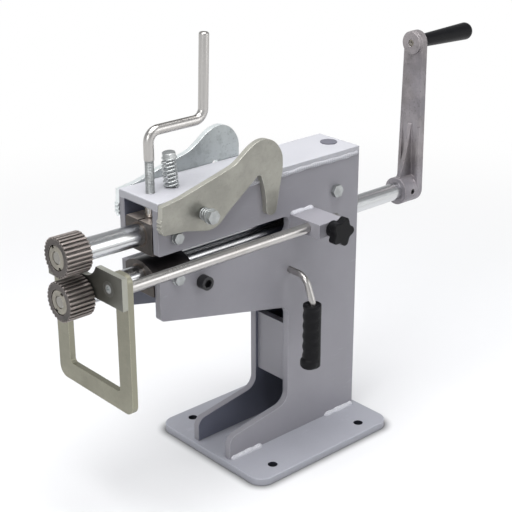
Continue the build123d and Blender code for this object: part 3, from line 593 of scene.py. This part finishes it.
def hexagon_head(build, place, low, height, across_flats):
    """A bolt head with its corners turned off at 30 degrees, flat on top."""
    per_side, corner_drop, top_share = 6, 0.0003, 0.93
    apothem = across_flats / 2
    base, shoulder, rim = [], [], []
    for i in range(6 * per_side):
        angle = 2 * pi * i / (6 * per_side)
        radius = apothem / cos((angle % (pi / 3)) - pi / 6)
        bevel = (radius - apothem) * tan(radians(30))
        for ring, reach, z in ((base, radius, low), (shoulder, radius, low + height - corner_drop - bevel),
                               (rim, apothem * top_share, low + height)):
            ring.append(place(reach * cos(angle), reach * sin(angle), z))
    skin(build, (base, shoulder, rim))


def weld_bead(build, start, end, corner, outward, leg):
    """A rippled bead along X: corner is (y, z), outward the two directions that it fills."""
    sunk, blunt, ripple_pitch, ripple_lean, arc_steps = 0.0008, 0.0003, 0.0042, 0.0011, 8
    uneven, quick, slow = 0.16, 310.0, 97.0
    stations = round((end - start) / WELD_STEP)
    rings = []
    for step in range(stations + 1):
        x = start + (end - start) * step / stations
        taper = sqrt(min(1.0, (min(x - start, end - x) + blunt) / leg))
        swell = taper * (1 + uneven * sin(x * quick) * sin(x * slow))
        ring = [(x, corner[0] + outward[0] * sunk, corner[1] - outward[1] * sunk)]
        for i in range(arc_steps + 1):
            angle = pi / 2 * i / arc_steps
            crown = sin(2 * angle)
            ripple = abs(sin(pi * (x + ripple_lean * crown) / ripple_pitch))
            reach = leg * swell * (1 - 0.16 * crown + 0.20 * ripple * crown)
            ring.append((x, corner[0] - outward[0] * reach * cos(angle),
                         corner[1] + outward[1] * reach * sin(angle)))
        rings.append(ring)
    skin(build, rings)


# User values

def length_value(name, text, metres):
    return bpy.props.FloatProperty(name=name, description=text, default=metres, subtype="DISTANCE",
                                   unit="LENGTH", precision=5)


def angle_value(name, text, degrees):
    return bpy.props.FloatProperty(name=name, description=text, default=radians(degrees),
                                   subtype="ANGLE", unit="ROTATION")


def colour_value(name, text, default):
    return bpy.props.FloatVectorProperty(name=name, description=text, default=default, subtype="COLOR",
                                         size=3, min=0.0, max=1.0)


class FinishColours(PropertyGroup):
    """Base colours of the finishes."""

    paint: colour_value("Frame paint", "Satin paint of the cheeks and back", (0.315, 0.308, 0.338))
    # Top and base paints are the frame paint made lighter: painted light on the top plate and the base plate.
    lit_top_paint: colour_value("Top paint", "Paint of the top plate", (0.515, 0.515, 0.55))
    lit_base_paint: colour_value("Base paint", "Paint of the base plate", (0.4, 0.405, 0.45))
    # Inside colour: painted shade on the frame between the cheeks and, darker, on the walls of the base
    # plate's bores.
    inside: colour_value("Inside paint", "Frame paint between the cheeks", (0.13, 0.14, 0.19))
    shaft: colour_value("Ground shaft", "Ground steel of the two shafts", (0.66, 0.67, 0.68))
    bar: colour_value("Bright bar", "Gauge rod, adjusting screw and lever", (0.52, 0.505, 0.49))
    roll: colour_value("Roll steel", "Crimping rolls and gears", (0.25, 0.222, 0.208))
    block: colour_value("Block steel", "Bearing blocks", (0.075, 0.065, 0.06))
    # Light top colour of the rear and upper blocks: painted highlight of lit tops.
    lit_block_top: colour_value("Rubbed steel", "Rubbed tops of the bearing blocks", (0.95, 0.84, 0.76))
    # Near black colour of the lower front block's top faces.
    dark_block_top: colour_value("Blued steel", "Dark top of the lower front block", (0.014, 0.014, 0.02))
    # Dark, so that the bushes read as the shaded ring where the shafts enter the blocks: painted shade.
    bronze: colour_value("Bronze", "Bearing bushes", (0.13, 0.1, 0.08))
    zinc: colour_value("Plated plate", "Zinc plated near guard arm", (0.305, 0.3, 0.268))
    zinc_blue: colour_value("Blue zinc", "Bluish plating of the far guard arm", (0.5, 0.535, 0.535))
    loop: colour_value("Loop zinc", "Yellow tinged zinc of the gauge loop", (0.235, 0.228, 0.178))
    # Stop plate: a darker, greyer zinc than the loop's.
    stop: colour_value("Stop plate", "Blackened stop plate behind the rolls", (0.15, 0.15, 0.132))
    fastener: colour_value("Bolts", "Zinc plated bolts and springs", (0.44, 0.455, 0.455))
    nut: colour_value("Roll nuts", "Nuts of the rolls", (0.33, 0.31, 0.265))
    oxide: colour_value("Black oxide", "Black socket screws", (0.018, 0.018, 0.020))
    casting: colour_value("Casting", "Crank arm", (0.285, 0.262, 0.268))
    plastic: colour_value("Black plastic", "Grips and knob", (0.0045, 0.0045, 0.0055))
    plug: colour_value("Plug", "Moulded plug in the top plate", (0.13, 0.13, 0.155))


class DetailSizes(PropertyGroup):
    """Sizes of the small details."""

    screw_pitch: length_value("Screw pitch", "Lead of the adjusting screw's thread", 0.002)
    screw_thread_depth: length_value("Thread depth", "Depth of the adjusting screw's thread", 0.0008)
    lift_lean: angle_value("Lift bolt lean", "Lean of the lift bolt towards the rolls", 6.5)
    rib_pitch: length_value("Rib pitch", "Spacing of the fine ribs on the lever grip", 0.0021)
    rib_depth: length_value("Rib depth", "Depth of the fine ribs on the lever grip", 0.00045)


class StageSizes(PropertyGroup):
    """Floor, lamps and camera."""

    corner: length_value("Shadow corner", "Corner radius of the shadow under the base plate", 0.020)
    floor_half: length_value("Floor half width", "Half the width of the pale floor", 6.0)
    floor_colour: colour_value("Floor colour", "Colour of the pale floor", (0.86, 0.86, 0.87))
    camera_place: bpy.props.FloatVectorProperty(
        name="Camera place", description="Where the camera stands", default=(-1.05506, -1.13999, 0.90592),
        subtype="TRANSLATION", unit="LENGTH")
    azimuth: angle_value("Azimuth", "Camera's turn from straight in front", -41.793)
    elevation: angle_value("Elevation", "Camera's height angle", 22.467)
    roll: angle_value("Roll", "Camera's roll", -0.143)
    lens: bpy.props.FloatProperty(
        name="Lens", description="Focal length in millimetres on a 36 mm sensor", default=87.38, min=1.0,
        subtype="DISTANCE_CAMERA", unit="CAMERA")


# Operators

class CRIMPER_OT_frame(Operator):
    """Paint the welded frame and lay its weld beads."""

    bl_idname = "crimper.frame"
    bl_label = "Welded Frame"

    def execute(self, context):
        colours = context.scene.crimper_colours
        # The inside colour passed here is painted shade between the cheeks.
        coat(satin_paint("frame_paint", colours.paint, colours.inside),
             "side_plate_near", "side_plate_far", "back_plate")
        # The top plate, its seams and the base plate take lighter copies of the frame paint: painted light.
        lit_top_paint = satin_paint("lit_top_paint", colours.lit_top_paint, colours.inside, scuffs=0.8)
        coat(lit_top_paint, "top_plate")
        coat(satin_paint("lit_base_paint", colours.lit_base_paint, colours.inside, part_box("base_plate")),
             "base_plate")
        coat(satin_paint("web_paint", colours.paint), "column_web", "gauge_block")
        # The weld beads take the top paint made lighter still: painted highlight.
        self.beads(satin_paint("weld_paint", shade(colours.lit_top_paint, 1.25)))
        self.top_seams(lit_top_paint)
        return {"FINISHED"}

    def beads(self, paint):
        """Fillet welds along the foot of each cheek and on the gauge block."""
        foot_spans, foot_leg = ((-0.1165, -0.0605), (0.0605, 0.1165)), 0.0046
        block_start, block_end, block_z, block_leg = -0.0095, 0.0315, 0.337, 0.0038
        build = bmesh.new()
        for side in (-1, 1):
            for start, end in foot_spans:
                weld_bead(build, start, end, (side * CHEEK_FACE_Y, BASE_TOP_Z), (-side, 1), foot_leg)
        weld_bead(build, block_start, block_end, (-CHEEK_FACE_Y, block_z), (1, 1), block_leg)
        new_piece("weld_beads", build, paint, "frame", "frame_paint", "frame_welds")

    def top_seams(self, paint):
        """Flat rippled seams where the top plate is welded on the cheeks."""
        start, end, seam_z, half_height = -0.119, 0.116, 0.3945, 0.0031
        sunk_y, face_y, rise, ripple_rise, ripple_pitch = 0.0375, 0.0378, 0.0016, 0.0006, 0.0040
        tapered, arc_steps, uneven, quick, slow, drift = 8, 7, 0.16, 223.0, 61.0, 0.0005
        stations = round((end - start) / WELD_STEP)
        build = bmesh.new()
        for side in (-1, 1):
            rings = []
            for step in range(stations + 1):
                x = start + WELD_STEP * step
                ripple = abs(sin(pi * x / ripple_pitch))
                swell = min(1.0, (step + 1) / tapered, (stations + 1 - step) / tapered)
                half = half_height * swell * (1 + uneven * sin(x * quick))
                z = seam_z + drift * sin(x * slow)
                ring = [(x, side * sunk_y, z - half), (x, side * sunk_y, z + half)]
                for i in range(arc_steps):
                    angle = pi * (i + 0.5) / arc_steps
                    out = face_y + swell * (rise + ripple_rise * ripple) * sin(angle)
                    ring.append((x, side * out, z + half * cos(angle)))
                rings.append(ring)
            skin(build, rings)
        new_piece("top_seams", build, paint, "frame", "frame_paint")


class CRIMPER_OT_bearings(Operator):
    """Finish the bearing blocks and bushes."""

    bl_idname = "crimper.bearings"
    bl_label = "Bearings"

    def execute(self, context):
        colours = context.scene.crimper_colours
        # These blocks' light tops are painted highlight.
        coat(machined_block("block_steel", colours.block, colours.lit_block_top),
             "lower_rear_block", "upper_front_block", "upper_rear_block")
        # The lower front block's top faces are near black.
        coat(machined_block("dark_topped_block", colours.block, colours.dark_block_top, 0.26), "lower_front_block")
        # The bushes' dark colour is painted shade.
        coat(bored_bronze("bush_bronze", colours.bronze),
             "lower_front_bush", "lower_rear_bush", "upper_front_bush", "upper_rear_bush")
        return {"FINISHED"}


class CRIMPER_OT_rolls(Operator):
    """Finish the toothed rolls, the gears and the roll nuts."""

    bl_idname = "crimper.rolls"
    bl_label = "Rolls and Gears"

    def execute(self, context):
        colours = context.scene.crimper_colours
        fall = tan(REST_TILT)
        axes = {"upper": (PIVOT[1] + fall * PIVOT[0], fall), "lower": (LOWER_AXIS_Z, 0.0)}
        teeth = {"roll": (ROLL_ROOT, ROLL_CREST), "gear": (GEAR_ROOT, GEAR_CREST)}
        for kind, (root, crest) in teeth.items():
            for level, axis in axes.items():
                node = level + "_" + kind
                coat(hardened_roll(node + "_steel", colours.roll, axis, root, crest), node)
        coat(plated_fastener("nut_zinc", colours.nut, 0.34), "upper_roll_nut", "lower_roll_nut")
        return {"FINISHED"}


class CRIMPER_OT_shafts(Operator):
    """Finish the shafts and their keys, the gauge rod, the grip's spindle and the screw foot."""

    bl_idname = "crimper.shafts"
    bl_label = "Shafts"

    def execute(self, context):
        colours = context.scene.crimper_colours
        coat(turned_bar("bright_steel", colours.bar, "X", 0.2), "gauge_rod", "grip_spindle", "screw_foot")
        coat(turned_bar("shaft_steel", colours.shaft, "X", 0.15),
             "upper_shaft", "lower_shaft", "upper_keys", "lower_keys")
        return {"FINISHED"}


class CRIMPER_OT_adjuster(Operator):
    """Make the adjusting screw with its thread, and the lift bolt in its spring."""

    bl_idname = "crimper.adjuster"
    bl_label = "Adjusting Screw and Lift Bolt"

    def execute(self, context):
        colours = context.scene.crimper_colours
        sizes = context.scene.crimper_sizes
        self.screw(turned_bar("screw_bar", colours.bar, "Z", 0.24),
                   plated_fastener("screw_thread", colours.fastener, 0.3), sizes)
        # The lift bolt and spring take the bolt colour made lighter: painted light.
        zinc = plated_fastener("lift_zinc", shade(colours.fastener, 1.45), 0.20)
        centre = Vector((-0.1735, 0, 0.399))
        lean = Matrix.Rotation(-sizes.lift_lean, 3, "Y")
        self.bolt(zinc, centre, lean)
        self.spring(zinc, centre, lean)
        return {"FINISHED"}

    def screw(self, bar, thread, sizes):
        """Z-bent bar with a rounded end, and its threaded lower leg with the pin that holds the foot."""
        leg_x, arm_x, arm_z, end_x, end_z = -0.207, -0.1225, 0.480, -0.1186, 0.5839
        bar_radius, bend_radius, rounding, rounding_steps = 0.0064, 0.014, 0.0026, 6
        thread_low, thread_top, thread_radius, overlap = 0.388, 0.445, 0.0059, 0.0004
        points = rounded_path([(leg_x, 0, thread_top), (leg_x, 0, arm_z), (arm_x, 0, arm_z),
                               (end_x, 0, end_z)], bend_radius)
        radii = [bar_radius] * len(points)
        end, rise = points[-1], (points[-1] - points[-2]).normalized()
        for step in range(1, rounding_steps + 1):
            angle = pi / 2 * step / rounding_steps
            points.append(end + rise * rounding * sin(angle))
            radii.append(bar_radius - rounding * (1 - cos(angle)))
        build = bmesh.new()
        sweep(build, points, radii)
        new_piece("screw_handle", build, bar, "adjusting_screw", "bright_steel", "adjusting_screw")
        build = bmesh.new()
        threaded_rod(build, lambda x, y, z: (leg_x + x, y, z), thread_low, thread_top + overlap,
                     thread_radius, sizes.screw_thread_depth, sizes.screw_pitch)
        pin = ((0.379, 0.0030), (0.3796, 0.0036), (0.3882, 0.0036))
        sweep(build, [Vector((leg_x, 0, z)) for z, _ in pin], [radius for _, radius in pin])
        new_piece("screw_thread", build, thread, "adjusting_screw", "bright_steel", sharp_from=70)

    def bolt(self, zinc, centre, lean):
        """Leaning bolt with a flanged hexagon head, raised with the carrier to its tilt at rest."""
        low, seat, thread_radius, thread_depth, thread_pitch = 0.3695, 0.4375, 0.00485, 0.0006, 0.0015
        overlap, flange_height, head_height, across_flats = 0.0003, 0.0015, 0.0064, 0.016
        flange = ((0.0080, 0.0), (0.0094, 0.0), (0.0095, 0.0003), (0.0094, 0.0014), (0.0078, 0.0017))
        pivot = Vector((PIVOT[0], 0, PIVOT[1]))
        raised = Matrix.Rotation(REST_TILT, 3, "Y")

        def place(x, y, z):
            return pivot + raised @ (centre + lean @ Vector((x, y, z - centre.z)) - pivot)

        build = bmesh.new()
        threaded_rod(build, place, low, seat + overlap, thread_radius, thread_depth, thread_pitch)
        skin(build, [[place(x, y, seat + rise) for x, y in circle(reach, 36)] for reach, rise in flange])
        hexagon_head(build, place, seat + flange_height, head_height, across_flats)
        new_piece("lift_bolt_head", build, zinc, "carrier", "fastener_zinc", "lift_bolt", sharp_from=25)

    def spring(self, zinc, centre, lean):
        """Open coil, its ends flat, given a mesh of its own; on the machine it shortens under the head as the
        carrier is screwed down.
        """
        turns, coil, wire, seat, height = 7, 0.0082, 0.0012, 0.404, 0.03675
        turn_steps, closed_steps = 32, 8
        steps = turns * turn_steps
        points = []
        for step in range(-closed_steps, steps + closed_steps + 1):
            angle = 2 * pi * step / turn_steps
            share = min(1.0, max(0.0, step / steps))
            lift = wire + (height - 2 * wire) * share
            points.append(centre + lean @ Vector((coil * cos(angle), coil * sin(angle),
                                                  seat + lift - centre.z)))
        build = bmesh.new()
        sweep(build, points, [wire] * len(points), 16)
        spring = new_piece("lift_spring_coil", build, zinc, "carrier", "fastener_zinc", "lift_spring")
        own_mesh(spring)


class CRIMPER_OT_gauge(Operator):
    """Finish the gauge: stop plate, loop, screws and clamp knob."""

    bl_idname = "crimper.gauge"
    bl_label = "Gauge"

    def execute(self, context):
        colours = context.scene.crimper_colours
        stop, loop, screw_centre = colours.stop, colours.loop, (0.0495, 0.323)
        coat(plated_sheet("stop_plate", stop, shade(stop, 1.3), "Y", 0.2, "X", 3.0), "gauge_plate")
        coat(plated_sheet("loop_zinc", loop, shade(loop, 1.2), "Z", 0.3, "X", 1.35), "gauge_loop")
        # The screw heads take the bolt colour made lighter: painted light on their shaded face.
        coat(sunk_screw("sunk_screw_zinc", shade(colours.fastener, 1.7), shade(stop, 1.1), screw_centre),
             "gauge_screws")
        coat(moulded_black("knob_plastic", colours.plastic, 0.32), "gauge_knob")
        return {"FINISHED"}


class CRIMPER_OT_crank(Operator):
    """Finish the crank arm and its grip."""

    bl_idname = "crimper.crank"
    bl_label = "Crank"

    def execute(self, context):
        colours = context.scene.crimper_colours
        coat(sand_casting("crank_casting", colours.casting), "crank_arm")
        coat(moulded_black("crank_grip_plastic", colours.plastic, 0.28), "crank_grip")
        return {"FINISHED"}


class CRIMPER_OT_lever(Operator):
    """Finish the lock lever and mould its grip: finger waves, fine ribs and a flared foot."""

    bl_idname = "crimper.lever"
    bl_label = "Lock Lever"

    def execute(self, context):
        colours = context.scene.crimper_colours
        coat(turned_bar("lever_bar", colours.bar, "Z", 0.22), "lock_lever")
        build = bmesh.new()
        skin(build, self.rings(context.scene.crimper_sizes))
        plastic = moulded_black("lever_grip_plastic", colours.plastic, 0.44)
        new_piece("lever_grip_moulding", build, plastic, "lock_lever", "black_plastic", "lever_grip",
                  sharp_from=60)
        return {"FINISHED"}

    def rings(self, sizes):
        """The grip from its mouth down: round palm side, waved finger side, a bulging foot set forward."""
        axis_x, axis_y, top, length, radius = -0.0105, -0.083, 0.224, 0.092, 0.0117
        sides, station, shoulder_round, foot_chamfer = 96, 0.0004, 0.0015, 0.002
        waves, wave_height, finger_shift, plain_foot = 5, 0.00055, 0.0012, 0.010
        foot_height, foot_radius, foot_round, foot_shift = 0.015, 0.0124, 0.0055, 0.0046
        rib_start, rib_turn, rib_fade, rib_reach = 0.016, radians(28), 4, 0.1
        wave_start, unwaved = 0.002, 0.018
        wave = (length - unwaved) / waves
        steps = round(length / station)
        rings = [[(axis_x + x, axis_y + y, top - down) for x, y in circle(reach, sides)]
                 for reach, down in ((0.0045, 0.004), (0.0047, 0.0012), (0.0088, 0.0010), (0.0094, 0.0))]
        for step in range(steps + 1):
            down = length * step / steps
            rise = length - down
            corner = max(0.0, shoulder_round - down)
            shoulder = shoulder_round - sqrt(max(0.0, shoulder_round ** 2 - corner ** 2))
            finger = radius + wave_height * cos(2 * pi * (down - wave_start) / wave)
            palm = min(radius, radius - foot_chamfer + rise) - shoulder
            ring = []
            for i, (turn, across) in enumerate(circle(1.0, sides)):
                reach = palm
                if turn < 0 and rise > plain_foot:
                    waved = sqrt(finger ** 2 - (finger_shift * across) ** 2)
                    reach = max(reach, waved - finger_shift * turn - shoulder)
                if rise < foot_height:
                    bulge = foot_round - min(rise, foot_height - rise, foot_round)
                    swell = foot_radius - foot_round + sqrt(max(0.0, foot_round ** 2 - bulge ** 2))
                    inside = swell ** 2 - (foot_shift * across) ** 2
                    if inside > 0:
                        reach = max(reach, sqrt(inside) - foot_shift * turn)
                if rib_start < down < length - plain_foot:
                    facing = cos(2 * pi * i / sides + rib_turn) + rib_reach
                    rib = 0.5 - 0.5 * cos(2 * pi * down / sizes.rib_pitch)
                    reach -= sizes.rib_depth * min(1.0, max(0.0, facing * rib_fade)) * rib
                ring.append((axis_x + reach * turn, axis_y + reach * across, top - down))
            rings.append(ring)
        return rings


class CRIMPER_OT_guards(Operator):
    """Finish the two guard arms."""

    bl_idname = "crimper.guards"
    bl_label = "Guard Arms"

    def execute(self, context):
        colours = context.scene.crimper_colours
        near, far = colours.zinc, colours.zinc_blue
        coat(plated_sheet("guard_zinc", near, shade(near, 1.25), "X", 0.3), "guard_arm_near")
        coat(plated_sheet("guard_zinc_blue", far, shade(far, 0.80), "X", 1.3), "guard_arm_far")
        return {"FINISHED"}


class CRIMPER_OT_fasteners(Operator):
    """Finish the bolts, screws, springs and the plug."""

    bl_idname = "crimper.fasteners"
    bl_label = "Fasteners"

    def execute(self, context):
        colours = context.scene.crimper_colours
        coat(plated_fastener("fastener_zinc", colours.fastener, 0.28),
             "lower_block_bolts", "pivot_bolts", "guard_bolts", "guard_springs", "guide_bolts")
        coat(blackened_screw("black_oxide", colours.oxide), "arm_cap_screws", "crank_set_screw")
        coat(moulded_black("plug_plastic", colours.plug, 0.4), "column_plug")
        return {"FINISHED"}


def area_lamp(name, place, target, size, watts):
    data = bpy.data.lights.new(name, "AREA")
    data.shape = "RECTANGLE"
    data.size, data.size_y = size
    data.energy = watts
    lamp = add_object(name, data)
    lamp.location = place
    lamp.rotation_euler = (Vector(target) - Vector(place)).to_track_quat("-Z", "Y").to_euler()


class CRIMPER_OT_stage(Operator):
    """Lay the pale floor, hang the lamps and set up the camera."""

    bl_idname = "crimper.stage"
    bl_label = "Stage"

    def execute(self, context):
        stage = context.scene.crimper_stage
        self.floor(stage)
        self.world(context)
        area_lamp("top_lamp", (-0.35, -0.15, 2.4), (0, 0, 0.2), (1.7, 1.7), 62.0)
        area_lamp("right_lamp", (1.2, -2.2, 1.2), (0, 0, 0.3), (1.2, 1.6), 13.0)
        area_lamp("left_lamp", (-2.3, -0.7, 1.5), (0, 0, 0.3), (0.9, 0.9), 14.0)
        self.camera(context, stage)
        context.scene.view_settings.view_transform = "Standard"
        return {"FINISHED"}

    def floor(self, stage):
        """A pale sheet just under the base plate."""
        gap = 0.0004
        build = bmesh.new()
        corners = [(x * stage.floor_half, y * stage.floor_half, -gap)
                   for x, y in ((-1, -1), (1, -1), (1, 1), (-1, 1))]
        build.faces.new([build.verts.new(corner) for corner in corners])
        mesh = bpy.data.meshes.new("floor")
        build.to_mesh(mesh)
        build.free()
        mesh.materials.append(self.floor_paint(stage))
        floor = add_object("floor", mesh)

    def floor_paint(self, stage):
        """Pale paint with a painted shadow under and around the base plate, passing into plain white further
        off.
        """
        # dark is the colour of the painted shadow under the base plate.
        black, dark, near_glow = (0.0, 0.0, 0.0), (0.02, 0.02, 0.022), 0.16
        finish = Finish("floor_paint", Roughness=0.9)
        x, y, _ = finish.parts(finish.place())
        away = (x * x + y * y).root().ramp(0.30, 1.5)
        (left, front, _), (right, back, _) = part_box("base_plate")
        reach = ((x - (left + right) / 2).size() - (right - left) / 2 + stage.corner).larger(0.0)
        depth = ((y - (front + back) / 2).size() - (back - front) / 2 + stage.corner).larger(0.0)
        # Painted shadow: full under the base plate, fading to nothing about 15 mm beyond its outline.
        under = 1 - ((reach * reach + depth * depth).root() - stage.corner).ramp(-0.005, 0.015)
        seen = finish.rays("Camera", "Glossy", "Transmission")
        pale = finish.mix(finish.noise(3.0), shade(stage.floor_colour, 0.99), stage.floor_colour)
        pale = finish.mix(away * (1 - seen), pale, black)
        finish.vary(Base_Color=finish.mix(under * 0.9, pale, dark))
        light = finish.node("ShaderNodeEmission", {}, {"Color": (1.0, 1.0, 1.0, 1.0), "Strength": 1.0})
        glow = (near_glow + (1 - near_glow) * away) * (1 - under) * seen
        return finish.show(finish.node("ShaderNodeMixShader", {}, {0: glow, 1: finish.surface, 2: light}))

    def world(self, context):
        """White behind the object, a soft studio with pale and dark bands in its bright metal."""
        world = bpy.data.worlds.new("pale_room")
        context.scene.world = world
        room = Nodes(world)
        tint = (0.97, 0.985, 1.0)
        bands = ((0.02, 0.85), (0.13, 0.62), (0.18, 0.26), (0.26, 0.74), (0.36, 0.72), (0.43, 0.24),
                 (0.58, 0.44), (0.80, 0.24))
        stops = [(place, shade(tint, level)) for place, level in bands]
        height = room.parts(room.node("ShaderNodeTexCoord", output="Generated"))[2]
        walls = room.node("ShaderNodeValToRGB", {"stops": stops}, {"Fac": height})
        mirrored = room.node("ShaderNodeBackground", {}, {"Color": walls})
        soft = room.node("ShaderNodeBackground", {}, {"Color": (0.92, 0.95, 1.0, 1.0), "Strength": 0.30})
        white = room.node("ShaderNodeBackground", {}, {"Color": (1.0, 1.0, 1.0, 1.0)})
        lit = room.node("ShaderNodeMixShader", {}, {0: room.rays("Glossy"), 1: soft, 2: mirrored})
        straight = room.rays("Camera", "Transmission")
        shown = room.node("ShaderNodeMixShader", {}, {0: straight, 1: lit, 2: white})
        room.node("ShaderNodeOutputWorld", {}, {"Surface": shown})

    def camera(self, context, stage):
        turn, lift, roll = stage.azimuth, stage.elevation, stage.roll
        back = Vector((sin(turn) * cos(lift), -cos(turn) * cos(lift), sin(lift)))
        level = Vector((0, 0, 1)).cross(back).normalized()
        upright = back.cross(level)
        right = level * cos(roll) + upright * sin(roll)
        up = upright * cos(roll) - level * sin(roll)
        data = bpy.data.cameras.new("camera")
        data.lens = stage.lens
        data.sensor_width = 36.0
        data.clip_end = 50.0
        camera = add_object("camera", data)
        camera.matrix_world = Matrix((right, up, back)).transposed().to_4x4()
        camera.location = stage.camera_place
        context.scene.camera = camera


class CRIMPER_PT_panel(Panel):
    """Lists the crimper's values and operators."""

    bl_idname = "CRIMPER_PT_panel"
    bl_label = "Sheet Metal Crimper"
    bl_space_type = "VIEW_3D"
    bl_region_type = "UI"
    bl_category = "Crimper"

    def draw(self, context):
        scene = context.scene
        for group in (scene.crimper_colours, scene.crimper_sizes, scene.crimper_stage):
            box = self.layout.box()
            for name in group.__annotations__:
                box.prop(group, name)
        for step in STEPS:
            self.layout.operator(step.bl_idname)


STEPS = (CRIMPER_OT_frame, CRIMPER_OT_bearings, CRIMPER_OT_rolls, CRIMPER_OT_shafts, CRIMPER_OT_adjuster,
         CRIMPER_OT_gauge, CRIMPER_OT_crank, CRIMPER_OT_lever, CRIMPER_OT_guards, CRIMPER_OT_fasteners,
         CRIMPER_OT_stage)
CLASSES = (FinishColours, DetailSizes, StageSizes, *STEPS, CRIMPER_PT_panel)


def register():
    for kind in CLASSES:
        bpy.utils.register_class(kind)
    bpy.types.Scene.crimper_colours = bpy.props.PointerProperty(type=FinishColours)
    bpy.types.Scene.crimper_sizes = bpy.props.PointerProperty(type=DetailSizes)
    bpy.types.Scene.crimper_stage = bpy.props.PointerProperty(type=StageSizes)


def unregister():
    del bpy.types.Scene.crimper_stage
    del bpy.types.Scene.crimper_sizes
    del bpy.types.Scene.crimper_colours
    for kind in reversed(CLASSES):
        bpy.utils.unregister_class(kind)


def main():
    register()
    for step in STEPS:
        group, action = step.bl_idname.split(".")
        if getattr(getattr(bpy.ops, group), action)() != {"FINISHED"}:
            raise RuntimeError(step.bl_label + " did not finish")


if __name__ == "__main__":
    main()
